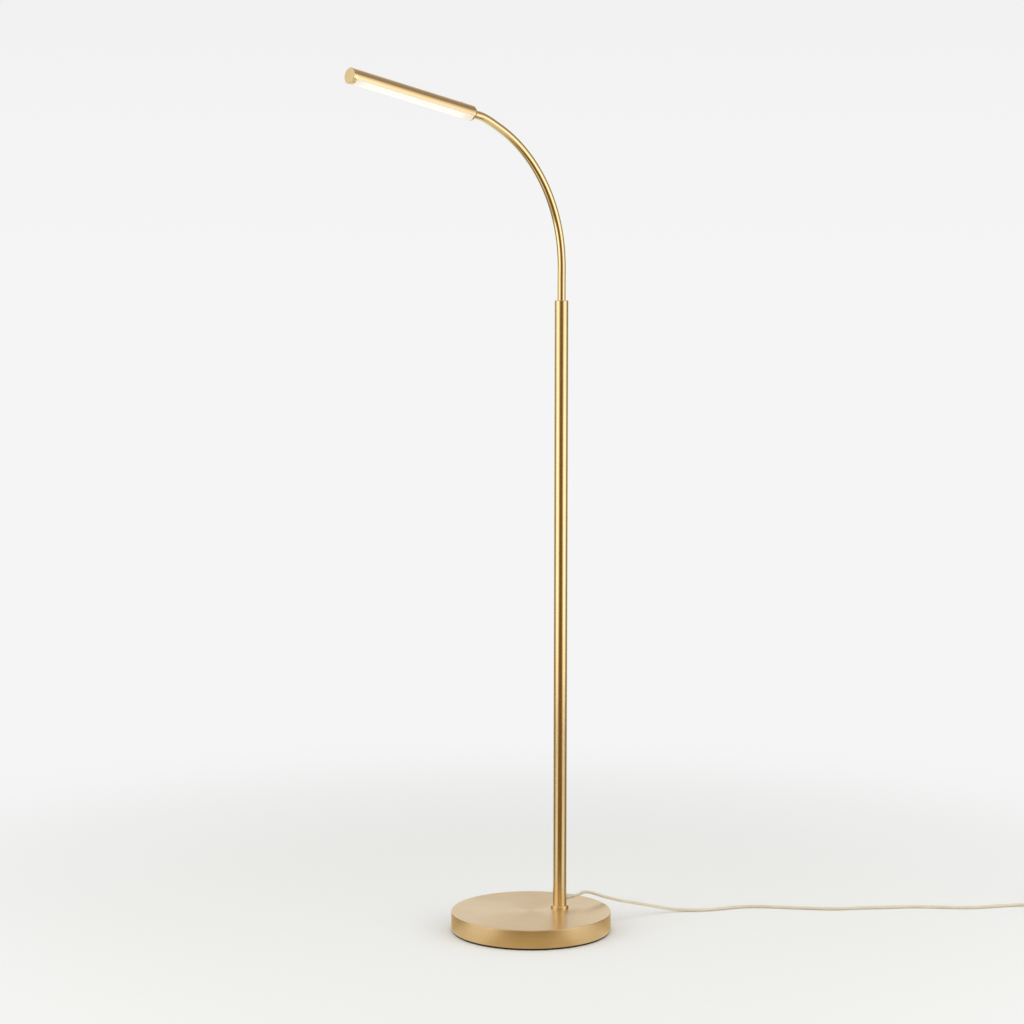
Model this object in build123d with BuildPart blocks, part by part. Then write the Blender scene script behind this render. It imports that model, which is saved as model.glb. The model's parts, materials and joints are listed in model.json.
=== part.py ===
"""Gooseneck reading floor lamp: weighted round base, slim stem, jointed neck and tubular LED head.

Millimetres, +Z up. The floor is z = 0 and the origin is the middle of the base's underside.
The head reaches out towards -X, and the mains lead leaves the stem towards +X.
"""
import os
from math import acos, asin, cos, degrees, dist, pi, radians, sin, sqrt, tan

from build123d import *

os.makedirs("parts", exist_ok=True)

# Clearances shared by the whole lamp
laid_gap = 0.3  # pieces that are laid or slid in loosely
fit_gap = 0.05  # spigots, threads and bushes
flat_gap = 0.1  # flat faces that turn on each other

# Base
base_radius = 128.5
base_height = 32.0
cover_wall = 1.2
cover_edge_radius = 1.4
pad_thickness = 3.0
pad_inset = 2.5
weight_slab = 14.0
weight_boss_radius = 24.0
weight_recess_radius = 18.0

# Stem
stem_x = 49.0
stem_y = -14.7
stem_radius = 11.0
stem_wall = 1.2
stem_top = 1013.0
collar_radius = 14.5
collar_height = 4.5
collar_edge_radius = 1.2
insert_length = 42.0
spigot_radius = 8.0
spigot_length = 16.5
bolt_radius = 5.0
bolt_engagement = 20.0
bolt_head_flats = 17.0
bolt_head_height = 6.4
washer_radius = 14.0
washer_thickness = 2.0
lock_washer_radius = 9.0
lock_washer_thickness = 2.2
bush_flange = 2.5
bush_edge_radius = 0.8
bush_length = 16.0
neck_nut_flats = 14.0
neck_nut_height = 5.0
neck_thread_radius = 5.0
driver_length = 90.0
driver_flat = 7.5

# Mains lead
cord_radius = 2.5
cord_exit_height = 46.0
relief_radius = 4.0
relief_end_radius = 2.9
relief_length = 20.0
relief_neck_radius = 3.5
inlet_bend_radius = 6.0

# Neck: straight out of the stem, then one bend in the arm's upright plane
neck_radius = 6.5
neck_straight = 53.3
neck_bend_radius = 240.0
neck_bend_angle = 75.3
neck_link_count = 10
first_pivot_height = 30.0
last_pivot_setback = 14.0
lead_radius = 1.7

# Ball and cup between two neck pieces
ball_radius = 4.6
ball_fit = 0.08
socket_radius = 6.2
cup_gap = 0.15
cup_depth = 2.7
slot_depth = 5.1
stalk_radius = 2.9
bore_radius = 2.0
mouth_angle = 26.0
lead_setback = 4.8
lead_reach = 3.8

# Head, measured from its rear end along its own axis
head_elevation = 11.4
head_length = 246.5
head_radius = 12.0
shell_wall = 1.0
swivel_groove = 1.4
groove_radius = 5.2
ferrule_end = 2.8
rear_cap_end = 11.3
rear_cap_wall = 3.7
rear_cap_cavity_radius = 8.5
rear_cap_spigot = 3.5
rear_cap_shoulder = 5.0
stud_radius = 4.0
stud_end = 13.5
friction_washer_radius = 7.5
friction_washer_thickness = 0.8
swivel_nut_flats = 11.0
swivel_nut_height = 3.5
window_start = 15.3
window_half_angle = 70.0
end_cap_length = 7.0
end_cap_spigot = 4.0
end_cap_chamfer = 0.5
end_hole_radius = 0.9
end_hole_depth = 1.6
end_hole_angle = 17.0
end_hole_setback = 2.9
cap_screw_radius = 1.25
cap_screw_length = 3.2
diffuser_wall = 1.5
diffuser_lip_angle = 12.0
carrier_start = 20.0
carrier_flat = 1.5
board_width = 14.0
board_thickness = 1.6
led_count = 24
led_width = 3.5
led_length = 2.8
led_height = 0.8

# Push switch in the crown of the head
switch_place = 31.0
pocket_size = 10.0
pocket_floor = 3.5
switch_board_size = 9.0
switch_board_thickness = 1.0
switch_size = 6.0
switch_height = 2.7
plunger_radius = 1.5
plunger_hole_depth = 2.2
button_radius = 3.0
button_flange_radius = 3.8
button_flange = 1.2
button_rise = 0.5
button_travel = 0.8

# Tie round the coil: the coil rests on it
tie_thickness = 0.8
tie_gap = 0.35
coil_low = tie_thickness + tie_gap + cord_radius

# Free stretch of the mains lead, from the strain relief to the coil, by hand
cord_route = [
    (89.0, -14.7, 46.0),
    (101.0, -17.0, 50.0),
    (114.0, -22.6, 47.2),
    (128.0, -29.6, 40.4),
    (150.0, -38.0, 32.8),
    (178.0, -45.5, 24.9),
    (206.0, -52.0, 17.5),
    (231.0, -59.0, 10.5),
    (250.0, -67.0, 5.6),
    (268.0, -77.5, 2.8),
    (291.0, -97.5, 2.6),
    (322.0, -111.5, 2.6),
    (355.0, -121.0, 2.6),
    (385.0, -143.0, 2.6),
    (408.0, -172.0, 2.6),
    (441.0, -209.0, 2.6),
    (464.0, -235.0, 2.6),
    (500.0, -256.0, 2.6),
    (541.0, -287.0, 2.6),
    (580.0, -311.5, 2.6),
    (613.0, -350.0, 2.6),
    (651.0, -384.0, 2.6),
    (699.0, -406.0, 2.6),
    (736.0, -432.0, coil_low),
    (778.0, -464.0, coil_low),
]

# Coil of the spare lead: half turns in, one half turn up, half turns out
coil_radius = 36.0
coil_step = 2.8
coil_layer_rise = 5.5
coil_turns_in = 6
coil_turns_out = 5
coil_end = 5.0
tie_width = 9.0
tie_side_gap = 0.6

# Plug
plug_relief_radius = 4.2
plug_relief_length = 22.0
plug_length = 36.0
plug_width = 25.0
plug_thickness = 15.0
plug_edge_radius = 3.0
blade_length = 16.0
blade_width = 6.3
blade_thickness = 1.5
blade_spacing = 12.7

# Stretch from the coil to the plug beside it, by hand: along, across and height, from the coil's end
tail_route = [
    (22.0, 0.0, 8.4),
    (42.0, 0.0, 4.4),
    (55.5, -9.5, 2.6),
    (60.5, -25.0, 2.6),
    (55.5, -40.5, 2.6),
    (42.0, -50.0, 2.6),
    (21.0, -50.0, plug_thickness / 2),
    (4.0, -50.0, plug_thickness / 2),
]

# Sizes that follow from the ones above
tube_bore = stem_radius - stem_wall
insert_top = base_height + insert_length
spigot_bottom = base_height - spigot_length
bolt_top = spigot_bottom + bolt_engagement
recess_top = spigot_bottom - laid_gap
washer_bottom = recess_top - washer_thickness
lock_washer_bottom = washer_bottom - lock_washer_thickness
bolt_head_bottom = lock_washer_bottom - bolt_head_height
driver_bottom = insert_top + laid_gap
driver_top = driver_bottom + driver_length
tube_top = stem_top - bush_flange
bush_bottom = tube_top - bush_length
nut_bottom = bush_bottom - neck_nut_height
cavity_radius = ball_radius + ball_fit
cup_radius = socket_radius + cup_gap
shell_bore = head_radius - shell_wall
inner_radius = shell_bore - laid_gap
shell_end = head_length - end_cap_length
cap_inner_end = shell_end - end_cap_spigot
carrier_end = cap_inner_end - laid_gap
diffuser_bore = inner_radius - diffuser_wall
rear_cap_start = ferrule_end + swivel_groove
cap_screw_place = rear_cap_end + rear_cap_spigot / 2
cavity_start = rear_cap_start + rear_cap_wall
swivel_nut_start = cavity_start + friction_washer_thickness + flat_gap


def across_corners(flats):
    """Circumradius of a hexagon from its size across the flats."""
    return flats / 2 / cos(radians(30))


def neck_point(run):
    """Point of the neck's centre line, a given length above the stem's top."""
    if run <= neck_straight:
        return Vector(stem_x, stem_y, stem_top + run)
    turn = (run - neck_straight) / neck_bend_radius
    reach = neck_bend_radius * (1 - cos(turn))
    rise = neck_bend_radius * sin(turn)
    return Vector(stem_x - reach, stem_y, stem_top + neck_straight + rise)


neck_length = neck_straight + neck_bend_radius * radians(neck_bend_angle)
head_root = neck_point(neck_length)
head_axis = Vector(-cos(radians(head_elevation)), 0, sin(radians(head_elevation)))
head_up = Vector(sin(radians(head_elevation)), 0, cos(radians(head_elevation)))
last_pivot = head_root - head_axis * last_pivot_setback
link_pitch = (neck_length - last_pivot_setback - first_pivot_height) / neck_link_count
pivots = [neck_point(first_pivot_height + link_pitch * n) for n in range(neck_link_count)]
pivots.append(last_pivot)


def section_plane(start, direction):
    """Half-section plane in the arm's upright plane: local x is the radius, local y runs along the axis."""
    unit = direction.normalized()
    return Plane(origin=start, x_dir=(unit.Z, 0, -unit.X), z_dir=(0, -1, 0))


def head_plane(place):
    """Cross-section plane of the head: local x is up, local z runs to the tip."""
    return Plane(origin=head_root + head_axis * place, x_dir=head_up, z_dir=head_axis)


def crown_plane(place, height):
    """Plane across the head's upward direction, a given height above its axis."""
    origin = head_root + head_axis * place + head_up * height
    return Plane(origin=origin, x_dir=head_axis, z_dir=head_up)


def angle_of(height, radius):
    """Angle above the local x axis at which a circle reaches a height, in degrees."""
    return degrees(asin(height / radius))


def socket_end():
    """Bottom end of a neck piece in half section: the cavity round the ball and the rounded outside."""
    cavity_top = degrees(acos(bore_radius / cavity_radius))
    cavity = CenterArc((0, 0), cavity_radius, cavity_top, -cavity_top - mouth_angle)
    outside = CenterArc((0, 0), socket_radius, -mouth_angle, mouth_angle)
    Line(cavity @ 1, outside @ 0)
    return cavity @ 0, outside @ 1


def ball_end(pivot):
    """Top end of a neck piece in half section: the cup's rim, the slot below it and the bored ball."""
    rim = angle_of(cup_depth, cup_radius)
    slot = angle_of(slot_depth, cup_radius)
    stalk = degrees(acos(stalk_radius / ball_radius))
    ball_top = degrees(acos(bore_radius / ball_radius))
    cup = CenterArc((0, pivot), cup_radius, -rim, rim - slot)
    ball = CenterArc((0, pivot), ball_radius, -stalk, stalk + ball_top)
    Polyline(cup @ 1, (stalk_radius, pivot - slot_depth), ball @ 0)
    return cup @ 0, ball @ 1


def base_cover():
    top = base_height - cover_wall
    bore = base_radius - cover_wall
    with BuildPart() as cover:
        with BuildSketch(Plane.XY.offset(pad_thickness)):
            Circle(base_radius)
        extrude(amount=base_height - pad_thickness)
        fillet(cover.edges().group_by(Axis.Z)[-1], cover_edge_radius)
        with BuildSketch(Plane.XY.offset(pad_thickness)):
            Circle(bore)
        extrude(amount=top - pad_thickness, mode=Mode.SUBTRACT)
        with BuildSketch(Plane.XY.offset(top)):
            with Locations((stem_x, stem_y)):
                Circle(spigot_radius + laid_gap)
        extrude(amount=cover_wall, mode=Mode.SUBTRACT)
    cover.part.label = "base_cover"
    export_step(cover.part, "parts/base_cover.step")


def base_weight():
    with BuildPart() as weight:
        with BuildSketch(Plane.XY.offset(pad_thickness)):
            Circle(base_radius - cover_wall - laid_gap)
        extrude(amount=weight_slab)
        with BuildSketch(Plane.XY.offset(pad_thickness)):
            with Locations((stem_x, stem_y)):
                Circle(weight_boss_radius)
        extrude(amount=base_height - cover_wall - pad_thickness)
        with BuildSketch(Plane.XY.offset(pad_thickness)):
            with Locations((stem_x, stem_y)):
                Circle(weight_recess_radius)
        extrude(amount=recess_top - pad_thickness, mode=Mode.SUBTRACT)
        with BuildSketch(Plane.XY.offset(recess_top)):
            with Locations((stem_x, stem_y)):
                Circle(spigot_radius + fit_gap)
        extrude(amount=base_height - cover_wall - recess_top, mode=Mode.SUBTRACT)
    weight.part.label = "base_weight"
    export_step(weight.part, "parts/base_weight.step")


def base_pad():
    with BuildPart() as pad:
        with BuildSketch():
            Circle(base_radius - pad_inset)
        extrude(amount=pad_thickness)
    pad.part.label = "base_pad"
    export_step(pad.part, "parts/base_pad.step")


def stem_bolt():
    with BuildPart() as bolt:
        with BuildSketch(Plane.XY.offset(bolt_head_bottom)):
            with Locations((stem_x, stem_y)):
                RegularPolygon(across_corners(bolt_head_flats), 6)
        extrude(amount=bolt_head_height)
        with BuildSketch(Plane.XY.offset(lock_washer_bottom)):
            with Locations((stem_x, stem_y)):
                Circle(bolt_radius)
        extrude(amount=bolt_top - lock_washer_bottom)
    bolt.part.label = "stem_bolt"
    export_step(bolt.part, "parts/stem_bolt.step")


def bolt_washer():
    with BuildPart() as washer:
        with BuildSketch(Plane.XY.offset(washer_bottom)):
            with Locations((stem_x, stem_y)):
                Circle(washer_radius)
                Circle(bolt_radius + laid_gap, mode=Mode.SUBTRACT)
        extrude(amount=washer_thickness)
    washer.part.label = "bolt_washer"
    export_step(washer.part, "parts/bolt_washer.step")


def bolt_lock_washer():
    slit = 1.2
    with BuildPart() as washer:
        with BuildSketch(Plane.XY.offset(lock_washer_bottom)):
            with Locations((stem_x, stem_y)):
                Circle(lock_washer_radius)
                Circle(bolt_radius + laid_gap, mode=Mode.SUBTRACT)
            with Locations((stem_x + lock_washer_radius, stem_y)):
                Rectangle(2 * (lock_washer_radius - bolt_radius), slit, mode=Mode.SUBTRACT)
        extrude(amount=lock_washer_thickness)
    washer.part.label = "bolt_lock_washer"
    export_step(washer.part, "parts/bolt_lock_washer.step")


def stem_collar():
    with BuildPart() as collar:
        with BuildSketch(Plane.XY.offset(base_height)):
            with Locations((stem_x, stem_y)):
                Circle(collar_radius)
        extrude(amount=collar_height)
        fillet(collar.edges().group_by(Axis.Z)[-1], collar_edge_radius)
        with BuildSketch(Plane.XY.offset(base_height)):
            with Locations((stem_x, stem_y)):
                Circle(stem_radius + fit_gap)
        extrude(amount=collar_height, mode=Mode.SUBTRACT)
    collar.part.label = "stem_collar"
    export_step(collar.part, "parts/stem_collar.step")


def stem_insert():
    channel = cord_radius + laid_gap
    channel_floor = cord_exit_height - channel
    with BuildPart() as insert:
        with BuildSketch(Plane.XY.offset(base_height)):
            with Locations((stem_x, stem_y)):
                Circle(tube_bore - fit_gap)
        extrude(amount=insert_length)
        with BuildSketch(Plane.XY.offset(spigot_bottom)):
            with Locations((stem_x, stem_y)):
                Circle(spigot_radius)
        extrude(amount=spigot_length)
        with BuildSketch(Plane.XY.offset(spigot_bottom)):
            with Locations((stem_x, stem_y)):
                Circle(bolt_radius + fit_gap)
        extrude(amount=bolt_engagement + laid_gap, mode=Mode.SUBTRACT)
        # Open channel that leads the cord in from +X and up the middle
        with BuildSketch(Plane.XY.offset(channel_floor)):
            with Locations((stem_x, stem_y)):
                Circle(channel)
            with Locations((stem_x + tube_bore / 2, stem_y)):
                Rectangle(tube_bore, 2 * channel)
        extrude(amount=insert_top - channel_floor, mode=Mode.SUBTRACT)
    insert.part.label = "stem_insert"
    export_step(insert.part, "parts/stem_insert.step")


def stem_tube():
    with BuildPart() as tube:
        with BuildSketch(Plane.XY.offset(base_height)):
            with Locations((stem_x, stem_y)):
                Circle(stem_radius)
                Circle(tube_bore, mode=Mode.SUBTRACT)
        extrude(amount=tube_top - base_height)
        with BuildSketch(Plane.YZ.offset(stem_x)):
            with Locations((stem_y, cord_exit_height)):
                Circle(relief_neck_radius + laid_gap)
        extrude(amount=stem_radius, mode=Mode.SUBTRACT)
    tube.part.label = "stem_tube"
    export_step(tube.part, "parts/stem_tube.step")


def stem_top_bush():
    with BuildPart() as bush:
        with BuildSketch(Plane.XY.offset(tube_top)):
            with Locations((stem_x, stem_y)):
                Circle(stem_radius)
        extrude(amount=bush_flange)
        fillet(bush.edges().group_by(Axis.Z)[-1], bush_edge_radius)
        with BuildSketch(Plane.XY.offset(bush_bottom)):
            with Locations((stem_x, stem_y)):
                Circle(tube_bore - fit_gap)
        extrude(amount=bush_length)
        with BuildSketch(Plane.XY.offset(bush_bottom)):
            with Locations((stem_x, stem_y)):
                Circle(neck_thread_radius + fit_gap)
        extrude(amount=bush_length + bush_flange, mode=Mode.SUBTRACT)
    bush.part.label = "stem_top_bush"
    export_step(bush.part, "parts/stem_top_bush.step")


def neck_lock_nut():
    with BuildPart() as nut:
        with BuildSketch(Plane.XY.offset(nut_bottom)):
            with Locations((stem_x, stem_y)):
                RegularPolygon(across_corners(neck_nut_flats), 6)
                Circle(neck_thread_radius + fit_gap, mode=Mode.SUBTRACT)
        extrude(amount=neck_nut_height)
    nut.part.label = "neck_lock_nut"
    export_step(nut.part, "parts/neck_lock_nut.step")


def cord_relief():
    """Tapered strain relief: its neck sits in the hole in the stem's wall."""
    entry = Vector(stem_x, stem_y, cord_exit_height)
    relief_end = stem_radius + relief_length
    with BuildPart() as relief:
        with BuildSketch(section_plane(entry, Vector(1, 0, 0))):
            with BuildLine():
                Polyline(
                    (0, 0),
                    (relief_radius, 0),
                    (relief_radius, stem_radius + laid_gap),
                    (relief_end_radius, relief_end),
                    (0, relief_end),
                    close=True,
                )
            make_face()
        revolve(axis=Axis(entry, (1, 0, 0)))
        with BuildSketch(Plane.XY.offset(cord_exit_height - relief_radius)):
            with Locations((stem_x, stem_y)):
                Circle(stem_radius + flat_gap)
        extrude(amount=2 * relief_radius, mode=Mode.SUBTRACT)
        with BuildSketch(Plane.YZ.offset(stem_x + tube_bore)):
            with Locations((stem_y, cord_exit_height)):
                Circle(relief_neck_radius)
        extrude(amount=relief_length / 2)
    relief.part.label = "cord_relief"
    export_step(relief.part, "parts/cord_relief.step")


def cord_inlet():
    """Mains lead inside the foot: in through the wall and up to the driver."""
    start = Vector(stem_x + tube_bore, stem_y, cord_exit_height)
    corner = Vector(stem_x, stem_y, cord_exit_height)
    end = Vector(stem_x, stem_y, driver_bottom)
    with BuildPart() as inlet:
        with BuildLine() as path:
            FilletPolyline(start, corner, end, radius=inlet_bend_radius)
        with BuildSketch(Plane(origin=start, z_dir=(-1, 0, 0))):
            Circle(cord_radius)
        sweep(path=path.wire())
    inlet.part.label = "cord_inlet"
    export_step(inlet.part, "parts/cord_inlet.step")


def led_driver():
    """Potted driver: a round body with two flats."""
    with BuildPart() as driver:
        with BuildSketch(Plane.XY.offset(driver_bottom)):
            with Locations((stem_x, stem_y)):
                Circle(tube_bore - laid_gap)
                Rectangle(2 * tube_bore, 2 * driver_flat, mode=Mode.INTERSECT)
        extrude(amount=driver_length)
    driver.part.label = "led_driver"
    export_step(driver.part, "parts/led_driver.step")


def stem_lead():
    """Low-voltage lead from the driver up the stem and through the neck's first ball."""
    lead_top = stem_top + first_pivot_height + lead_reach
    with BuildPart() as lead:
        with BuildSketch(Plane.XY.offset(driver_top)):
            with Locations((stem_x, stem_y)):
                Circle(lead_radius)
        extrude(amount=lead_top - driver_top)
    lead.part.label = "stem_lead"
    export_step(lead.part, "parts/stem_lead.step")


def neck_ferrule():
    """Bottom end of the neck: threaded spigot below, first ball above."""
    start = Vector(stem_x, stem_y, nut_bottom)
    shoulder = stem_top - nut_bottom
    pivot = shoulder + first_pivot_height
    with BuildPart() as ferrule:
        with BuildSketch(section_plane(start, Vector(0, 0, 1))):
            with BuildLine():
                cup_rim, ball_top = ball_end(pivot)
                Polyline(
                    ball_top,
                    (bore_radius, 0),
                    (neck_thread_radius, 0),
                    (neck_thread_radius, shoulder),
                    (neck_radius, shoulder),
                    (neck_radius, pivot - cup_depth),
                    cup_rim,
                )
            make_face()
        revolve(axis=Axis(start, (0, 0, 1)))
    ferrule.part.label = "neck_ferrule"
    export_step(ferrule.part, "parts/neck_ferrule.step")


def neck_link(number):
    """One rigid link of the neck, from its socket to the ball at the next pivot."""
    start = pivots[number - 1]
    direction = pivots[number] - start
    with BuildPart() as link:
        with BuildSketch(section_plane(start, direction)):
            with BuildLine():
                cavity_top, socket_edge = socket_end()
                cup_rim, ball_top = ball_end(direction.length)
                rim = (neck_radius, direction.length - cup_depth)
                Polyline(socket_edge, (neck_radius, 0), rim, cup_rim)
                Line(ball_top, cavity_top)
            make_face()
        revolve(axis=Axis(start, direction))
    link.part.label = f"neck_link_{number}"
    export_step(link.part, f"parts/neck_link_{number}.step")


def link_lead(number):
    """The length of lead that runs through one link and its ball."""
    start = pivots[number - 1]
    direction = pivots[number] - start
    with BuildPart() as lead:
        with BuildSketch(Plane(origin=start + direction.normalized() * lead_setback, z_dir=direction)):
            Circle(lead_radius)
        extrude(amount=direction.length + lead_reach - lead_setback)
    lead.part.label = f"link_lead_{number}"
    export_step(lead.part, f"parts/link_lead_{number}.step")


def head_ferrule():
    """Top end of the neck: the last socket, the swivel's shoulder and the bored stud."""
    shoulder = last_pivot_setback + ferrule_end
    seat = last_pivot_setback + rear_cap_start - flat_gap
    end = last_pivot_setback + stud_end
    with BuildPart() as ferrule:
        with BuildSketch(section_plane(last_pivot, head_axis)):
            with BuildLine():
                cavity_top, socket_edge = socket_end()
                Polyline(
                    socket_edge,
                    (neck_radius, 0),
                    (neck_radius, shoulder),
                    (groove_radius, shoulder),
                    (groove_radius, seat),
                    (stud_radius, seat),
                    (stud_radius, end),
                    (bore_radius, end),
                    cavity_top,
                )
            make_face()
        revolve(axis=Axis(last_pivot, head_axis))
    ferrule.part.label = "head_ferrule"
    export_step(ferrule.part, "parts/head_ferrule.step")


def ferrule_lead():
    with BuildPart() as lead:
        with BuildSketch(head_plane(lead_setback - last_pivot_setback)):
            Circle(lead_radius)
        extrude(amount=last_pivot_setback - lead_setback + stud_end)
    lead.part.label = "ferrule_lead"
    export_step(lead.part, "parts/ferrule_lead.step")


def friction_washer():
    with BuildPart() as washer:
        with BuildSketch(head_plane(cavity_start + flat_gap)):
            Circle(friction_washer_radius)
            Circle(stud_radius + fit_gap, mode=Mode.SUBTRACT)
        extrude(amount=friction_washer_thickness)
    washer.part.label = "friction_washer"
    export_step(washer.part, "parts/friction_washer.step")


def swivel_nut():
    with BuildPart() as nut:
        with BuildSketch(head_plane(swivel_nut_start)):
            RegularPolygon(across_corners(swivel_nut_flats), 6)
            Circle(stud_radius + fit_gap, mode=Mode.SUBTRACT)
        extrude(amount=swivel_nut_height)
    nut.part.label = "swivel_nut"
    export_step(nut.part, "parts/swivel_nut.step")


def rear_cap():
    """Turned cap with a rounded shoulder, a bore for the stud and a spigot inside the shell."""
    spigot_end = rear_cap_end + rear_cap_spigot
    with BuildPart() as cap:
        with BuildSketch(head_plane(rear_cap_start)):
            Circle(head_radius)
        extrude(amount=rear_cap_end - rear_cap_start)
        rims = cap.edges().filter_by(GeomType.CIRCLE).sort_by(Axis(head_root, head_axis))
        fillet(rims[0], rear_cap_shoulder)
        with BuildSketch(head_plane(rear_cap_end)):
            Circle(shell_bore - fit_gap)
        extrude(amount=rear_cap_spigot)
        with BuildSketch(head_plane(cavity_start)):
            Circle(rear_cap_cavity_radius)
        extrude(amount=spigot_end - cavity_start, mode=Mode.SUBTRACT)
        with BuildSketch(head_plane(rear_cap_start)):
            Circle(stud_radius + fit_gap)
        extrude(amount=rear_cap_wall, mode=Mode.SUBTRACT)
        with BuildSketch(crown_plane(cap_screw_place, rear_cap_cavity_radius - shell_wall)):
            Circle(cap_screw_radius + fit_gap)
        extrude(amount=head_radius, mode=Mode.SUBTRACT)
    cap.part.label = "rear_cap"
    export_step(cap.part, "parts/rear_cap.step")


def rear_cap_screw():
    """Grub screw through the shell's ring into the rear cap, flush with the shell."""
    top = head_radius - laid_gap
    with BuildPart() as screw:
        with BuildSketch(crown_plane(cap_screw_place, top - cap_screw_length)):
            Circle(cap_screw_radius)
        extrude(amount=cap_screw_length)
    screw.part.label = "rear_cap_screw"
    export_step(screw.part, "parts/rear_cap_screw.step")


def wedge(radius, half_angle):
    """Outline of a pie slice about straight down, in a plane across the head."""
    first = 180 - half_angle
    rim = CenterArc((0, 0), radius, first, 2 * half_angle)
    Polyline(rim @ 1, (0, 0), rim @ 0)


def head_shell():
    """Tube with a full ring at the rear and a long window on the underside, and a hole for the button."""
    with BuildPart() as shell:
        with BuildSketch(head_plane(rear_cap_end)):
            Circle(head_radius)
            Circle(shell_bore, mode=Mode.SUBTRACT)
        extrude(amount=shell_end - rear_cap_end)
        with BuildSketch(head_plane(window_start)):
            with BuildLine():
                wedge(head_radius + shell_wall, window_half_angle)
            make_face()
        extrude(amount=shell_end - window_start, mode=Mode.SUBTRACT)
        with BuildSketch(crown_plane(switch_place, 0)):
            Circle(button_radius + flat_gap)
        extrude(amount=head_radius + shell_wall, mode=Mode.SUBTRACT)
        with BuildSketch(crown_plane(cap_screw_place, 0)):
            Circle(cap_screw_radius + fit_gap)
        extrude(amount=head_radius + shell_wall, mode=Mode.SUBTRACT)
    shell.part.label = "head_shell"
    export_step(shell.part, "parts/head_shell.step")


def diffuser():
    """Opal trough: it closes the window and its lips slide inside the shell."""
    with BuildPart() as trough:
        with BuildSketch(head_plane(window_start)):
            with BuildLine():
                wedge(inner_radius, window_half_angle + diffuser_lip_angle)
            make_face()
            Circle(diffuser_bore, mode=Mode.SUBTRACT)
        extrude(amount=shell_end - window_start)
    trough.part.label = "diffuser"
    export_step(trough.part, "parts/diffuser.step")


def heat_sink():
    """D-shaped bar that fills the upper half of the shell, with a pocket for the switch."""
    with BuildPart() as bar:
        with BuildSketch(head_plane(carrier_start)):
            Circle(inner_radius)
            with Locations((carrier_flat - head_radius, 0)):
                Rectangle(2 * head_radius, 2 * head_radius, mode=Mode.SUBTRACT)
        extrude(amount=carrier_end - carrier_start)
        with BuildSketch(crown_plane(switch_place, pocket_floor)):
            Rectangle(pocket_size, pocket_size)
        extrude(amount=head_radius, mode=Mode.SUBTRACT)
    bar.part.label = "heat_sink"
    export_step(bar.part, "parts/heat_sink.step")


def led_board():
    with BuildPart() as board:
        with BuildSketch(head_plane(carrier_start)):
            with Locations((carrier_flat - board_thickness / 2, 0)):
                Rectangle(board_thickness, board_width)
        extrude(amount=carrier_end - carrier_start)
    board.part.label = "led_board"
    export_step(board.part, "parts/led_board.step")


def led_packages():
    """All LED packages on the underside of the board, evenly spaced."""
    pitch = (carrier_end - carrier_start) / led_count
    middle = (carrier_start + carrier_end) / 2
    face = carrier_flat - board_thickness - led_height
    with BuildPart() as leds:
        with BuildSketch(crown_plane(middle, face)):
            with GridLocations(pitch, 1, led_count, 1):
                Rectangle(led_length, led_width)
        extrude(amount=led_height)
    leds.part.label = "led_packages"
    export_step(leds.part, "parts/led_packages.step")


def head_lead():
    """Last length of lead, from the stud to the board."""
    start = stud_end + laid_gap
    with BuildPart() as lead:
        with BuildSketch(head_plane(start)):
            Circle(lead_radius)
        extrude(amount=carrier_start - start)
    lead.part.label = "head_lead"
    export_step(lead.part, "parts/head_lead.step")


def end_cap():
    """Solid cap with a full-round collar, a spigot inside the diffuser and a blind spanner hole."""
    side = Vector(0, -cos(radians(end_hole_angle)), 0) - head_up * sin(radians(end_hole_angle))
    hole_place = head_root + head_axis * (head_length - end_hole_setback)
    with BuildPart() as cap:
        with BuildSketch(head_plane(shell_end)):
            Circle(head_radius)
        extrude(amount=end_cap_length)
        rims = cap.edges().filter_by(GeomType.CIRCLE).sort_by(Axis(head_root, head_axis))
        chamfer(rims[-1], end_cap_chamfer)
        with BuildSketch(head_plane(cap_inner_end)):
            Circle(diffuser_bore - laid_gap)
        extrude(amount=end_cap_spigot)
        with BuildSketch(Plane(origin=hole_place + side * (head_radius - end_hole_depth), z_dir=side)):
            Circle(end_hole_radius)
        extrude(amount=2 * end_hole_depth, mode=Mode.SUBTRACT)
    cap.part.label = "end_cap"
    export_step(cap.part, "parts/end_cap.step")


def switch_board():
    with BuildPart() as board:
        with BuildSketch(crown_plane(switch_place, pocket_floor)):
            Rectangle(switch_board_size, switch_board_size)
        extrude(amount=switch_board_thickness)
    board.part.label = "switch_board"
    export_step(board.part, "parts/switch_board.step")


def switch_body():
    """Push switch on its board, with a hole for the button's plunger."""
    bottom = pocket_floor + switch_board_thickness
    with BuildPart() as body:
        with BuildSketch(crown_plane(switch_place, bottom)):
            Rectangle(switch_size, switch_size)
        extrude(amount=switch_height)
        with BuildSketch(crown_plane(switch_place, bottom + switch_height - plunger_hole_depth)):
            Circle(plunger_radius + flat_gap)
        extrude(amount=plunger_hole_depth, mode=Mode.SUBTRACT)
    body.part.label = "switch_body"
    export_step(body.part, "parts/switch_body.step")


def push_button():
    """Button with a flange below the shell and a plunger in the switch."""
    flange_top = sqrt(shell_bore**2 - button_flange_radius**2) - laid_gap
    flange_bottom = flange_top - button_flange
    switch_top = pocket_floor + switch_board_thickness + switch_height
    plunger_bottom = switch_top - plunger_hole_depth + button_travel + flat_gap
    with BuildPart() as button:
        with BuildSketch(crown_plane(switch_place, flange_bottom)):
            Circle(button_flange_radius)
        extrude(amount=button_flange)
        with BuildSketch(crown_plane(switch_place, flange_top)):
            Circle(button_radius)
        extrude(amount=head_radius + button_rise - flange_top)
        with BuildSketch(crown_plane(switch_place, plunger_bottom)):
            Circle(plunger_radius)
        extrude(amount=flange_bottom - plunger_bottom)
    button.part.label = "push_button"
    export_step(button.part, "parts/push_button.step")


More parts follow.
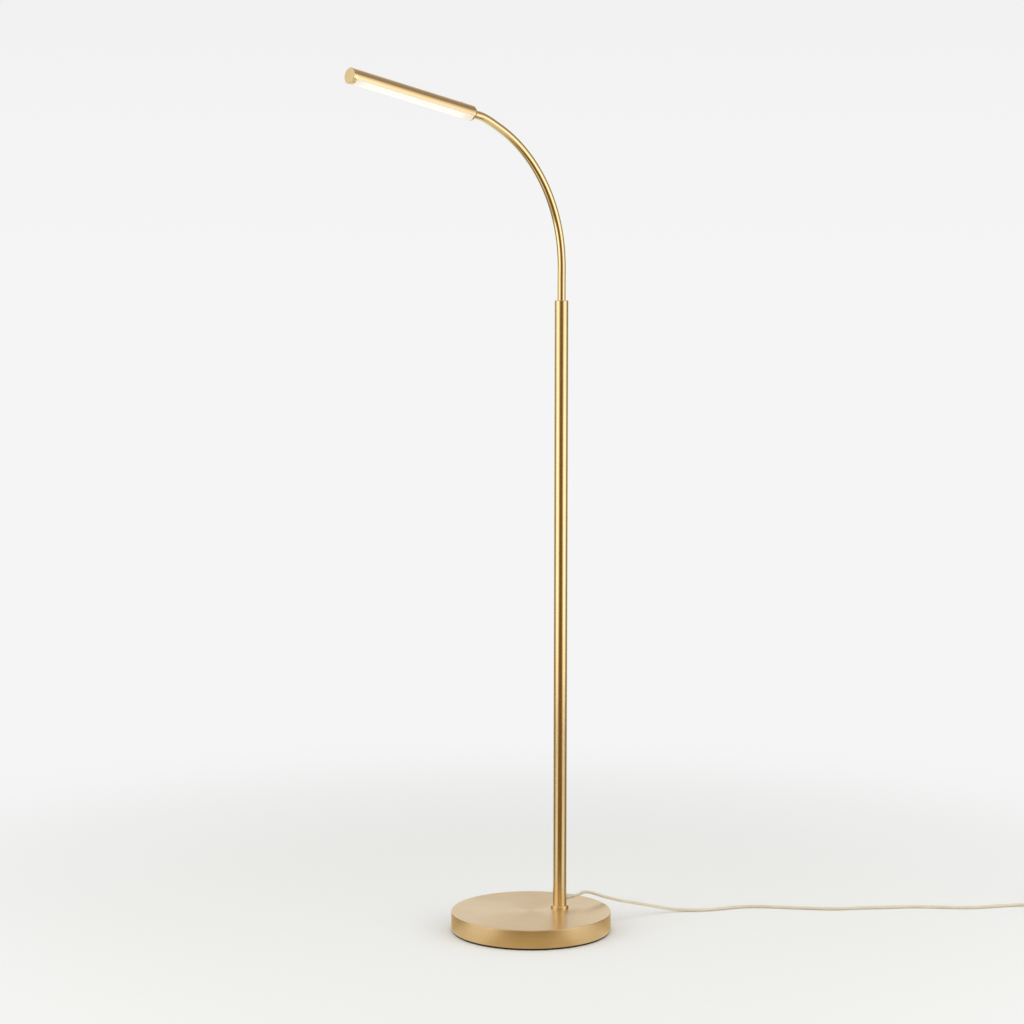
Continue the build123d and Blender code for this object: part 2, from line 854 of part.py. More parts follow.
def corner_radii(points):
    """Largest easy arc for each corner: 0.45 of the shorter run over the tangent of half the turn."""
    radii = []
    for before, here, after in zip(points, points[1:], points[2:]):
        into = here - before
        out = after - here
        half_turn = radians(into.get_angle(out)) / 2
        radii.append(0.45 * min(into.length, out.length) / tan(half_turn))
    return radii


def check_cord(name, part, path):
    """Prints a tube's volume against its section times its length."""
    expected = pi * cord_radius**2 * path.length
    print(f"{name}: length {path.length:.1f}, volume ratio {part.volume / expected:.5f}")


def cord_run():
    """Free stretch of the mains lead: over the rim of the base, down, and along the floor."""
    start = Vector(stem_x + stem_radius + relief_length, stem_y, cord_exit_height)
    points = [start] + [Vector(*point) for point in cord_route]
    radii = corner_radii(points)
    print("cord_run radii:", [round(radius) for radius in radii])
    with BuildPart() as run:
        with BuildLine() as path:
            FilletPolyline(*points, radius=radii)
        with BuildSketch(Plane(origin=start, z_dir=points[1] - start)):
            Circle(cord_radius)
        sweep(path=path.wire())
    check_cord("cord_run", run.part, path.wire())
    run.part.label = "cord_run"
    export_step(run.part, "parts/cord_run.step")


def coil_frame():
    """Axes of the coil: the origin is on the floor below its entry, x runs on along the lead."""
    before = Vector(*cord_route[-2])
    entry = Vector(*cord_route[-1])
    heading = (entry.X - before.X, entry.Y - before.Y, 0)
    return Plane(origin=(entry.X, entry.Y, 0), x_dir=heading, z_dir=(0, 0, 1))


coil_high = coil_low + coil_layer_rise
climb_radius = coil_radius - coil_step * coil_turns_in


def coil_levels():
    """Places across the coil where each half turn starts and ends, for the lower and the upper layer."""
    low = [0.0]
    for turn in range(coil_turns_in):
        side = 1 if turn % 2 == 0 else -1
        low.append(low[-1] + side * 2 * (coil_radius - coil_step * turn))
    high = [low[-1] + 2 * climb_radius]
    for turn in range(coil_turns_out):
        side = -1 if turn % 2 == 0 else 1
        high.append(high[-1] + side * 2 * (climb_radius + coil_step * (turn + 1)))
    return low, high


def half_turns(levels, height, start_angle):
    """One layer of the coil: a half circle from each level to the next, anticlockwise."""
    for turn, (here, there) in enumerate(zip(levels, levels[1:])):
        centre = (coil_end, (here + there) / 2, height)
        CenterArc(centre, abs(there - here) / 2, start_angle + 180 * turn, 180)


def least_gap(path):
    """Smallest clear distance from the tube to itself, measured on points a millimetre apart."""
    count = round(path.length)
    points = [tuple(path @ (n / count)) for n in range(count + 1)]
    apart = round(6 * cord_radius)
    return min(dist(a, b) for i, a in enumerate(points) for b in points[i + apart:]) - 2 * cord_radius


def cord_coil():
    """Spare lead in a two-layer coil: it spirals in, climbs in half a turn and spirals out again."""
    frame = coil_frame()
    low, high = coil_levels()
    reach = sqrt(climb_radius**2 + (coil_layer_rise / 2) ** 2)
    middle = (coil_end + reach, (low[-1] + high[0]) / 2, (coil_low + coil_high) / 2)
    with BuildPart() as coil:
        with BuildLine(frame) as path:
            Line((0, low[0], coil_low), (coil_end, low[0], coil_low))
            half_turns(low, coil_low, -90)
            ThreePointArc((coil_end, low[-1], coil_low), middle, (coil_end, high[0], coil_high))
            half_turns(high, coil_high, 90)
            Line((coil_end, high[-1], coil_high), (2 * coil_end, high[-1], coil_high))
        with BuildSketch(Plane(origin=frame.from_local_coords((0, low[0], coil_low)), z_dir=frame.x_dir)):
            Circle(cord_radius)
        sweep(path=path.wire())
    check_cord("cord_coil", coil.part, path.wire())
    print(f"cord_coil: least gap to itself {least_gap(path.wire()):.2f}")
    coil.part.label = "cord_coil"
    export_step(coil.part, "parts/cord_coil.step")


def coil_tie():
    """Flat tie bent round the coil on the side away from the climb."""
    frame = coil_frame()
    low, high = coil_levels()
    outer = abs(low[2] - low[1]) / 2 + cord_radius + tie_side_gap
    inner = abs(low[-1] - low[-2]) / 2 - cord_radius - tie_side_gap
    middle = (inner + outer) / 2
    half_angle = degrees(tie_width / 2 / middle)
    centre = frame.from_local_coords((coil_end, (low[1] + low[2] + high[0] + high[1]) / 4, 0))
    start = frame.x_dir.rotate(Axis.Z, 180 - half_angle)
    height = coil_layer_rise + 2 * (cord_radius + tie_gap)
    with BuildPart() as tie:
        with BuildSketch(Plane(origin=centre, x_dir=start, z_dir=start.cross(Vector(0, 0, 1)))):
            with Locations((middle, (coil_low + coil_high) / 2)):
                Rectangle(outer - inner + 2 * tie_thickness, height + 2 * tie_thickness)
                Rectangle(outer - inner, height, mode=Mode.SUBTRACT)
        revolve(axis=Axis(centre, (0, 0, 1)), revolution_arc=2 * half_angle)
    tie.part.label = "coil_tie"
    export_step(tie.part, "parts/coil_tie.step")


def tail_points():
    """Route from the coil's upper end to the plug's strain relief."""
    frame = coil_frame()
    level = coil_levels()[1][-1]
    local = [(2 * coil_end, level, coil_high)]
    local += [(2 * coil_end + x, level + y, height) for x, y, height in tail_route]
    return [frame.from_local_coords(Vector(*point)) for point in local]


def cord_tail():
    points = tail_points()
    radii = corner_radii(points)
    print("cord_tail radii:", [round(radius) for radius in radii])
    with BuildPart() as tail:
        with BuildLine() as path:
            FilletPolyline(*points, radius=radii)
        with BuildSketch(Plane(origin=points[0], z_dir=points[1] - points[0])):
            Circle(cord_radius)
        sweep(path=path.wire())
    check_cord("cord_tail", tail.part, path.wire())
    tail.part.label = "cord_tail"
    export_step(tail.part, "parts/cord_tail.step")


def plug_frame(distance):
    """Cross-section plane of the plug, a given distance from the end of the lead, x upright."""
    points = tail_points()
    heading = (points[-1] - points[-2]).normalized()
    return Plane(origin=points[-1] + heading * distance, x_dir=(0, 0, 1), z_dir=heading)


def plug_relief():
    with BuildPart() as relief:
        with BuildSketch(plug_frame(0)):
            Circle(relief_end_radius)
        with BuildSketch(plug_frame(plug_relief_length)):
            Circle(plug_relief_radius)
        loft()
    relief.part.label = "plug_relief"
    export_step(relief.part, "parts/plug_relief.step")


def plug_body():
    with BuildPart() as body:
        with BuildSketch(plug_frame(plug_relief_length)):
            RectangleRounded(plug_thickness, plug_width, plug_edge_radius)
        extrude(amount=plug_length)
    body.part.label = "plug_body"
    export_step(body.part, "parts/plug_body.step")


def plug_blades():
    with BuildPart() as blades:
        with BuildSketch(plug_frame(plug_relief_length + plug_length)):
            with GridLocations(1, blade_spacing, 1, 2):
                Rectangle(blade_width, blade_thickness)
        extrude(amount=blade_length)
    blades.part.label = "plug_blades"
    export_step(blades.part, "parts/plug_blades.step")


def main():
    single_pieces = [
        base_cover, base_weight, base_pad, stem_bolt, bolt_washer, bolt_lock_washer,
        stem_collar, stem_insert, stem_tube, stem_top_bush, neck_lock_nut,
        cord_relief, cord_inlet, led_driver, stem_lead, neck_ferrule,
        head_ferrule, ferrule_lead, friction_washer, swivel_nut, rear_cap, rear_cap_screw,
        head_shell, diffuser, heat_sink, led_board, led_packages, head_lead, end_cap,
        switch_board, switch_body, push_button,
        cord_run, cord_coil, coil_tie, cord_tail, plug_relief, plug_body, plug_blades,
    ]
    for make_piece in single_pieces:
        make_piece()
    for number in range(1, neck_link_count + 1):
        neck_link(number)
        link_lead(number)


main()
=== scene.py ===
"""Gooseneck reading floor lamp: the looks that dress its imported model.

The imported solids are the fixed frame. Metals, plastics and the lit diffuser are procedural materials.
The neck's sleeve, the mains lead, the plug, the tie, the cover and the small trims are meshes made here.
Everything is in metres in the model's own frame: +Z up, the head reaches towards -X.
"""
from __future__ import annotations

import json
import logging
import math
from dataclasses import dataclass, field
from enum import Enum
from typing import Any, Sequence

import bmesh
import bpy
from mathutils import Matrix, Vector

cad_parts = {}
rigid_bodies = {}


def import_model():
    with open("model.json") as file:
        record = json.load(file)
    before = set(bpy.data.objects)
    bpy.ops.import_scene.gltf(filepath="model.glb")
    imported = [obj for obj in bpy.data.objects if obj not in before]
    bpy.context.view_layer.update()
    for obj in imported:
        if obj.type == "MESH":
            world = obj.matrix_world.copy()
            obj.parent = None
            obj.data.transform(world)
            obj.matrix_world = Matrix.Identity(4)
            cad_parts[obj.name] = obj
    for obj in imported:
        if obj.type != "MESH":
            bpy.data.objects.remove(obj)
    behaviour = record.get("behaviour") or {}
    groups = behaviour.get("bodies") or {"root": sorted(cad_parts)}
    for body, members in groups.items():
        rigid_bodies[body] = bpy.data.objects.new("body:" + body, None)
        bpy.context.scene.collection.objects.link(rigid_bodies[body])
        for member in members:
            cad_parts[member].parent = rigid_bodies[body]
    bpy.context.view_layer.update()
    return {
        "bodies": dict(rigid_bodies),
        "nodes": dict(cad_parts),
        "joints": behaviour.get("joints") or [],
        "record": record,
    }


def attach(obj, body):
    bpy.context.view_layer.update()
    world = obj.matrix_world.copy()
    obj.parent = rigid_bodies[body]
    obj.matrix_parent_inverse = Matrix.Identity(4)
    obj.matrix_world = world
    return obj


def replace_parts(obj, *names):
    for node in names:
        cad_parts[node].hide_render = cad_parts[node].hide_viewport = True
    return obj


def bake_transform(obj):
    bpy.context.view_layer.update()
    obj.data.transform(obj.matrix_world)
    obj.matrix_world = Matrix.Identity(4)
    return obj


LOG = logging.getLogger("reading_lamp")
MM = 0.001
# Where the stem stands on the floor
STEM = (49.0 * MM, -14.7 * MM)
# Sizes of the faint clouds in a finish, and how far a polishing line runs
METAL_CLOUD = 45 * MM
POLYMER_CLOUD = 25 * MM
OPAL_CLOUD = 8 * MM
LINE_RUN = 30 * MM
# Where most values of a noise lie, and of two that are multiplied
NOISE_LOW, NOISE_HIGH = 0.3, 0.7
SHADE_LOW, SHADE_HIGH = 0.12, 0.42
# How far the roughness sways over a metal and over a polymer
METAL_SWAY = 0.03
POLYMER_SWAY = 0.06
# A radius below this is a point on the axis
TINY = 1e-7

Point = tuple[float, float, float]
Span = tuple[float, float]
Profile = Sequence[tuple[float, float]]
Material = bpy.types.Material
Piece = bpy.types.Object
Node = bpy.types.Node
Socket = bpy.types.NodeSocket
Tree = bpy.types.NodeTree


def linear(code: str) -> tuple[float, float, float, float]:
    """Turn an sRGB hex colour into linear RGBA.

    Args:
        code: Six hex digits after a hash sign.

    Returns:
        Linear red, green, blue and an alpha of 1.
    """
    channels = [int(code[start:start + 2], 16) / 255 for start in (1, 3, 5)]
    lit = [c / 12.92 if c <= 0.04045 else ((c + 0.055) / 1.055) ** 2.4 for c in channels]
    return lit[0], lit[1], lit[2], 1.0


def add_node(tree: Tree, kind: str, inputs: dict[Any, Any] | None = None, **settings: Any) -> Node:
    """Add one node with its settings and its links.

    Args:
        tree: Node tree of a material, a lamp or the world.
        kind: Blender's name for the node type.
        inputs: Input name or number, and what it takes: a value, an output socket, or a node, which
            stands for its first output in use.
        **settings: Properties of the node.

    Returns:
        The new node.
    """
    node = tree.nodes.new(kind)
    for name, value in settings.items():
        setattr(node, name, value)
    for key, value in (inputs or {}).items():
        if isinstance(value, Node):
            value = next(output for output in value.outputs if output.enabled)
        if isinstance(value, Socket):
            tree.links.new(value, node.inputs[key])
        else:
            node.inputs[key].default_value = value
    return node


def ray_kinds(tree: Tree) -> tuple[Node, Socket]:
    """Tell how a surface or the surround is met.

    Args:
        tree: Node tree.

    Returns:
        What is 1 where the camera meets it, also through clear parts, and what is 1 where metal mirrors it.
    """
    rays = add_node(tree, "ShaderNodeLightPath").outputs
    seen = add_node(tree, "ShaderNodeMath", {0: rays["Is Camera Ray"], 1: rays["Is Transmission Ray"]},
                    operation="MAXIMUM")
    return seen, rays["Is Glossy Ray"]


def empty_tree(owner: Material | bpy.types.World | bpy.types.Light) -> Tree:
    """Give a material, a world or a lamp an empty node tree.

    Args:
        owner: What the tree belongs to.

    Returns:
        The tree.
    """
    owner.use_nodes = True
    owner.node_tree.nodes.clear()
    return owner.node_tree


def blank_material(name: str) -> tuple[Material, Tree, Socket]:
    """Make a material that has only object coordinates.

    Args:
        name: Name of the material.

    Returns:
        The material, its tree and the coordinates.
    """
    material = bpy.data.materials.new(name)
    tree = empty_tree(material)
    return material, tree, add_node(tree, "ShaderNodeTexCoord").outputs["Object"]


def close_material(tree: Tree, shader: Node) -> None:
    """Link a shader to a new material output."""
    add_node(tree, "ShaderNodeOutputMaterial", {"Surface": shader})


class Grain(Enum):
    """Which way the polishing lines of a metal run."""

    ROUND_UPRIGHT = "rings round the upright axis through the object's origin"
    ALONG_SHEET = "lines across the head, round its axis"
    SLEEVE = "a fine winding that follows the sleeve's own coordinates"
    CAST = "no lines"


@dataclass(frozen=True)
class LacqueredMetal:
    """A polished or brushed metal under clear lacquer or anodising.

    The lines are far finer than a pixel of the render, so they are drawn a little coarser than life,
    and what the eye gets from them is the stretched, soft highlight.
    """

    name: str
    tint: str
    deep_tint: str
    roughness: float
    grain: Grain = Grain.CAST
    line_mm: float = 0.5
    line_depth_mm: float = 0.004
    stretch: float = 0.0
    axis_point: Point = (0.0, 0.0, 0.0)

    def material(self) -> Material:
        """Build the material.

        Returns:
            The finished material.
        """
        material, tree, place = blank_material(self.name)
        lines = add_node(tree, "ShaderNodeTexNoise", {
            "Vector": self._line_coordinates(tree, place), "Scale": 1.0, "Detail": 3.0})
        clouds = add_node(tree, "ShaderNodeTexNoise", {
            "Vector": place, "Scale": 1 / METAL_CLOUD, "Detail": 2.0})
        shade = add_node(tree, "ShaderNodeMath", {0: lines, 1: clouds}, operation="MULTIPLY")
        tone = add_node(tree, "ShaderNodeMapRange", {
            "Value": shade, "From Min": SHADE_LOW, "From Max": SHADE_HIGH})
        colour = add_node(tree, "ShaderNodeMix", {
            "Factor": tone, 6: linear(self.deep_tint), 7: linear(self.tint)}, data_type="RGBA")
        rough = add_node(tree, "ShaderNodeMapRange", {
            "Value": lines, "From Min": NOISE_LOW, "From Max": NOISE_HIGH,
            "To Min": self.roughness - METAL_SWAY, "To Max": self.roughness + METAL_SWAY})
        bump = add_node(tree, "ShaderNodeBump", {
            "Height": lines, "Strength": 0.35, "Distance": self.line_depth_mm * MM})
        shader = add_node(tree, "ShaderNodeBsdfPrincipled", {
            "Base Color": colour, "Metallic": 1.0, "Roughness": rough,
            "Anisotropic": self.stretch, "Normal": bump})
        if self.grain is Grain.ROUND_UPRIGHT and self.stretch:
            # A quarter turn: light spreads across the rings, not along them
            shader.inputs["Anisotropic Rotation"].default_value = 0.25
            tangent = add_node(tree, "ShaderNodeTangent", direction_type="RADIAL", axis="Z")
            tree.links.new(tangent.outputs[0], shader.inputs["Tangent"])
        close_material(tree, shader)
        return material

    def _line_coordinates(self, tree: Tree, place: Socket) -> Node:
        """Coordinates that are quick across the lines and slow along them.

        Args:
            tree: The material's node tree.
            place: Object coordinates.

        Returns:
            Node with the coordinates.
        """
        fine = 1 / (self.line_mm * MM)
        if self.grain is Grain.ROUND_UPRIGHT:
            local = add_node(tree, "ShaderNodeVectorMath", {0: place, 1: Vector(self.axis_point)},
                             operation="SUBTRACT")
            x, y, z = add_node(tree, "ShaderNodeSeparateXYZ", {0: local}).outputs
            flat = add_node(tree, "ShaderNodeCombineXYZ", {0: x, 1: y})
            radius = add_node(tree, "ShaderNodeVectorMath", {0: flat}, operation="LENGTH")
            heading = add_node(tree, "ShaderNodeVectorMath", {0: flat}, operation="NORMALIZE")
            across = add_node(tree, "ShaderNodeMath", {0: radius, 1: z}, operation="ADD")
            quick = add_node(tree, "ShaderNodeMath", {0: across, 1: fine}, operation="MULTIPLY")
            slow = add_node(tree, "ShaderNodeVectorMath", {0: heading, "Scale": 2.5}, operation="SCALE")
            ring = add_node(tree, "ShaderNodeCombineXYZ", {2: quick})
            return add_node(tree, "ShaderNodeVectorMath", {0: slow, 1: ring}, operation="ADD")
        if self.grain is Grain.CAST:
            return add_node(tree, "ShaderNodeVectorMath", {0: place, "Scale": fine}, operation="SCALE")
        if self.grain is Grain.SLEEVE:
            source, scales = add_node(tree, "ShaderNodeUVMap", uv_map="sleeve"), (1.0, fine, 1.0)
        else:
            source, scales = place, (1 / LINE_RUN, fine, fine)
        return add_node(tree, "ShaderNodeVectorMath", {0: source, 1: Vector(scales)}, operation="MULTIPLY")


@dataclass(frozen=True)
class MouldedPolymer:
    """A moulded or extruded plastic or rubber with a fine spark-eroded or drawn surface."""

    name: str
    tint: str
    deep_tint: str
    roughness: float
    grain_mm: float = 0.6
    grain_depth_mm: float = 0.02
    clarity: float = 0.0
    depth_mm: float = 0.0
    gloss_ior: float = 1.5

    def material(self) -> Material:
        """Build the material.

        Returns:
            The finished material.
        """
        material, tree, place = blank_material(self.name)
        grain = add_node(tree, "ShaderNodeTexNoise", {
            "Vector": place, "Scale": 1 / (self.grain_mm * MM), "Detail": 2.0})
        clouds = add_node(tree, "ShaderNodeTexNoise", {
            "Vector": place, "Scale": 1 / POLYMER_CLOUD, "Detail": 3.0})
        tone = add_node(tree, "ShaderNodeMapRange", {
            "Value": clouds, "From Min": NOISE_LOW, "From Max": NOISE_HIGH})
        colour = add_node(tree, "ShaderNodeMix", {
            "Factor": tone, 6: linear(self.deep_tint), 7: linear(self.tint)}, data_type="RGBA")
        rough = add_node(tree, "ShaderNodeMapRange", {
            "Value": grain, "From Min": NOISE_LOW, "From Max": NOISE_HIGH,
            "To Min": max(self.roughness - POLYMER_SWAY, 0.0), "To Max": self.roughness + POLYMER_SWAY})
        bump = add_node(tree, "ShaderNodeBump", {
            "Height": grain, "Strength": 0.5, "Distance": self.grain_depth_mm * MM})
        close_material(tree, add_node(tree, "ShaderNodeBsdfPrincipled", {
            "Base Color": colour, "Roughness": rough, "Normal": bump,
            "IOR": self.gloss_ior, "Transmission Weight": self.clarity,
            "Subsurface Weight": 0.35 if self.depth_mm else 0.0,
            "Subsurface Scale": max(self.depth_mm, 0.1) * MM, "Subsurface Radius": (1.0, 0.8, 0.5)}))
        return material


@dataclass(frozen=True)
class OpalAcrylic:
    """Extruded opal acrylic, lit from inside: warm white, a little weaker towards its two ends."""

    name: str = "opal_acrylic"
    tint: str = "#FCFDFB"
    end_tint: str = "#FFF4D6"
    bulk_tint: str = "#C4BFB2"
    strength: float = 0.5
    weakest_share: float = 0.76
    end_fade: float = 22 * MM
    lip_fade: Span = (-6.5 * MM, -3.4 * MM)

    def material(self, middle: Vector, axis: Vector, upward: Vector, half_length: float) -> Material:
        """Build the material.

        Args:
            middle: Middle of the lit length.
            axis: Unit vector along the head.
            upward: Unit vector from the head's axis to its crown.
            half_length: Half the lit length in metres.

        Returns:
            The finished material.
        """
        material, tree, place = blank_material(self.name)
        offset = add_node(tree, "ShaderNodeVectorMath", {0: place, 1: middle}, operation="SUBTRACT")
        along = add_node(tree, "ShaderNodeVectorMath", {0: offset, 1: axis}, operation="DOT_PRODUCT")
        reach = add_node(tree, "ShaderNodeMath", {0: along}, operation="ABSOLUTE")
        end = add_node(tree, "ShaderNodeMapRange", {
            "Value": reach, "From Min": half_length - self.end_fade, "From Max": half_length},
            interpolation_type="SMOOTHSTEP")
        # The shell shades the two lips, which look like a fine darker line along the edge of the metal
        rise = add_node(tree, "ShaderNodeVectorMath", {0: offset, 1: upward}, operation="DOT_PRODUCT")
        lip = add_node(tree, "ShaderNodeMapRange", {
            "Value": rise, "From Min": self.lip_fade[0], "From Max": self.lip_fade[1]},
            interpolation_type="SMOOTHSTEP")
        dull = add_node(tree, "ShaderNodeMath", {0: end, 1: lip}, operation="MAXIMUM")
        haze = add_node(tree, "ShaderNodeTexNoise", {"Vector": place, "Scale": 1 / OPAL_CLOUD, "Detail": 2.0})
        colour = add_node(tree, "ShaderNodeMix", {
            "Factor": dull, 6: linear(self.tint), 7: linear(self.end_tint)}, data_type="RGBA")
        glow = add_node(tree, "ShaderNodeMapRange", {
            "Value": dull, "To Min": self.strength, "To Max": self.strength * self.weakest_share})
        rough = add_node(tree, "ShaderNodeMapRange", {"Value": haze, "To Min": 0.3, "To Max": 0.42})
        close_material(tree, add_node(tree, "ShaderNodeBsdfPrincipled", {
            "Base Color": linear(self.bulk_tint), "Roughness": rough, "IOR": 1.49,
            "Emission Color": colour, "Emission Strength": glow}))
        return material


def place_object(name: str, data: bpy.types.ID) -> Piece:
    """Make an object and link it to the scene.

    Args:
        name: Name of the object.
        data: Its mesh, curve, camera or lamp.

    Returns:
        The object.
    """
    piece = bpy.data.objects.new(name, data)
    bpy.context.scene.collection.objects.link(piece)
    return piece


def finish_mesh(name: str, mesh: bmesh.types.BMesh, sharp_deg: float = 35.0) -> Piece:
    """Turn a bmesh into a smooth-shaded object whose hard edges stay hard.

    Args:
        name: Name of the piece.
        mesh: The bmesh, which is freed.
        sharp_deg: Angle above which an edge stays sharp.

    Returns:
        The new object, linked to the scene.
    """
    bmesh.ops.recalc_face_normals(mesh, faces=mesh.faces)
    data = bpy.data.meshes.new(name)
    mesh.to_mesh(data)
    mesh.free()
    data.shade_smooth()
    data.set_sharp_from_angle(angle=math.radians(sharp_deg))
    return place_object(name, data)


def axis_frame(start: Vector, direction: Vector) -> Matrix:
    """Frame whose z runs along a direction and whose origin is a point.

    Args:
        start: Origin of the frame.
        direction: Direction of its z axis.

    Returns:
        A 4x4 matrix.
    """
    frame = direction.to_track_quat("Z", "Y").to_matrix().to_4x4()
    frame.translation = start
    return frame


def lathe(name: str, profile: Profile, frame: Matrix, segments: int = 96, closed: bool = True,
          hexagons: Sequence[int] = ()) -> Piece:
    """Turn a profile round the z axis of a frame.

    Args:
        name: Name of the piece.
        profile: Radius and height pairs in metres.
        frame: Where the profile's axis stands.
        segments: Number of steps round the axis.
        closed: Whether the last point joins the first one.
        hexagons: Numbers of the profile's points that run round a hexagon with that inner radius.

    Returns:
        The turned piece.
    """
    mesh = bmesh.new()
    rings = []
    sixth = math.pi / 3
    for index, (radius, height) in enumerate(profile):
        ring = []
        for step in range(segments if radius > TINY else 1):
            turn = 2 * math.pi * step / segments
            reach = radius / math.cos(turn % sixth - sixth / 2) if index in hexagons else radius
            point = Vector((reach * math.cos(turn), reach * math.sin(turn), height))
            ring.append(mesh.verts.new(frame @ point))
        rings.append(ring)
    pairs = list(zip(rings, rings[1:]))
    if closed:
        pairs.append((rings[-1], rings[0]))
    for low, high in pairs:
        for step in range(segments):
            corners = [ring[step % len(ring)] for ring in (low, high)]
            after = [ring[(step + 1) % len(ring)] for ring in (high, low)]
            loop = list(dict.fromkeys(corners + after))
            if len(loop) > 2:
                mesh.faces.new(loop)
    return finish_mesh(name, mesh)


def arc_points(centre: tuple[float, float], radius: float, first_deg: float, last_deg: float,
               steps: int = 8) -> list[tuple[float, float]]:
    """Points of an arc in a profile's own plane.

    Args:
        centre: Centre, as radius and height.
        radius: Radius of the arc.
        first_deg: Angle of the first point.
        last_deg: Angle of the last point.
        steps: Number of pieces the arc has.

    Returns:
        The points, both ends included.
    """
    angles = [math.radians(first_deg + (last_deg - first_deg) * step / steps) for step in range(steps + 1)]
    return [(centre[0] + radius * math.cos(a), centre[1] + radius * math.sin(a)) for a in angles]


def rounded_outline(half_width: float, half_height: float, corner: float, steps: int = 5) -> Profile:
    """Closed outline of a rectangle with rounded corners, anticlockwise.

    Args:
        half_width: Half its size along x.
        half_height: Half its size along y.
        corner: Radius of its corners.
        steps: Number of pieces in each corner.

    Returns:
        The points, the same number for every size.
    """
    wide, high = half_width - corner, half_height - corner
    points: list[tuple[float, float]] = []
    for quarter, centre in enumerate(((wide, high), (-wide, high), (-wide, -high), (wide, -high))):
        points += arc_points(centre, corner, 90 * quarter, 90 * (quarter + 1), steps)
    return points


def ribbed_taper(start: float, end: float, wide: float, narrow: float, ribs: int, groove: float) -> Profile:
    """Profile of a tapered strain relief with rounded ribs.

    Args:
        start: Height of its wide end.
        end: Height of its narrow end.
        wide: Radius at the wide end.
        narrow: Radius at the narrow end.
        ribs: Number of ribs.
        groove: Depth of the grooves between them.

    Returns:
        Radius and height pairs from the wide end to the narrow end.
    """
    pitch = (end - start) / ribs
    points = []
    for rib in range(ribs):
        for place, depth in ((0.0, 1.0), (0.14, 0.35), (0.3, 0.0), (0.62, 0.0), (0.78, 0.35), (0.92, 1.0)):
            height = start + (rib + place) * pitch
            taper = wide + (narrow - wide) * (height - start) / (end - start)
            points.append((taper - groove * depth, height))
    points.append((narrow - groove, end))
    return points


def loft(mesh: bmesh.types.BMesh, rings: Sequence[Sequence[Vector]], looped: bool = False,
         capped: bool = False) -> list[list[bmesh.types.BMVert]]:
    """Lay down rings with the same number of points and join them by faces.

    Args:
        mesh: The bmesh that takes them.
        rings: Points of each ring.
        looped: Whether the last ring joins the first one.
        capped: Whether the first and the last ring are closed by a face.

    Returns:
        The vertices of each ring.
    """
    laid = [[mesh.verts.new(point) for point in ring] for ring in rings]
    for low, high in zip(laid, laid[1:] + (laid[:1] if looped else [])):
        for step in range(len(low)):
            after = (step + 1) % len(low)
            mesh.faces.new((low[step], low[after], high[after], high[step]))
    if capped:
        mesh.faces.new(laid[0])
        mesh.faces.new(laid[-1])
    return laid


def dress(piece: Piece, material: Material) -> Piece:
    """Give a piece its material.

    Args:
        piece: The piece.
        material: Its material.

    Returns:
        The same piece.
    """
    piece.data.materials.clear()
    piece.data.materials.append(material)
    return piece


@dataclass
class Base:
    """Round drawn cover on a rubber pad, with the collar round the foot of the stem."""

    radius: float = 128.5 * MM
    top: float = 32.0 * MM
    bottom: float = 3.0 * MM
    wall: float = 1.2 * MM
    edge_radius: float = 1.1 * MM
    hem_radius: float = 0.9 * MM
    collar_radius: float = 14.5 * MM
    collar_bore: float = 11.05 * MM
    collar_height: float = 4.5 * MM
    collar_round: float = 1.9 * MM

    def cover(self) -> Piece:
        """Build the cover as one drawn sheet with a rounded rim and a rounded hem.

        Returns:
            The cover.
        """
        outside = [(self.radius * share, self.top) for share in (0.0, 0.25, 0.5, 0.75, 0.9)]
        outside += arc_points((self.radius - self.edge_radius, self.top - self.edge_radius),
                              self.edge_radius, 90, 0, 10)
        outside += arc_points((self.radius - self.hem_radius, self.bottom + self.hem_radius),
                              self.hem_radius, 0, -90, 6)
        inner = self.radius - self.wall
        ceiling = self.top - self.wall
        inside = [(inner, self.bottom + self.hem_radius), (inner, ceiling), (0.0, ceiling)]
        return lathe("base_cover_sheet", outside + inside, Matrix.Identity(4), segments=256, closed=False)

    def collar(self) -> Piece:
        """Build the collar with its rounded shoulder.

        Returns:
            The collar.
        """
        foot = self.top
        shoulder = foot + self.collar_height - self.collar_round
        profile = [(self.collar_bore, foot), (self.collar_radius, foot), (self.collar_radius, shoulder)]
        profile += arc_points((self.collar_radius - self.collar_round, shoulder), self.collar_round, 0, 90, 8)
        profile += [(self.collar_bore, foot + self.collar_height)]
        frame = Matrix.Translation((*STEM, 0.0))
        return lathe("stem_collar_ring", profile, frame, segments=96)

    def build(self, brushed: Material, satin: Material) -> None:
        """Build the cover and the collar and fix them to the stand.

        Args:
            brushed: Brass with rings round the base's middle.
            satin: Satin brass.
        """
        cover = dress(self.cover(), brushed)
        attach(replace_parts(cover, "base_cover"), "stand")
        collar = dress(self.collar(), satin)
        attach(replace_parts(collar, "stem_collar"), "stand")


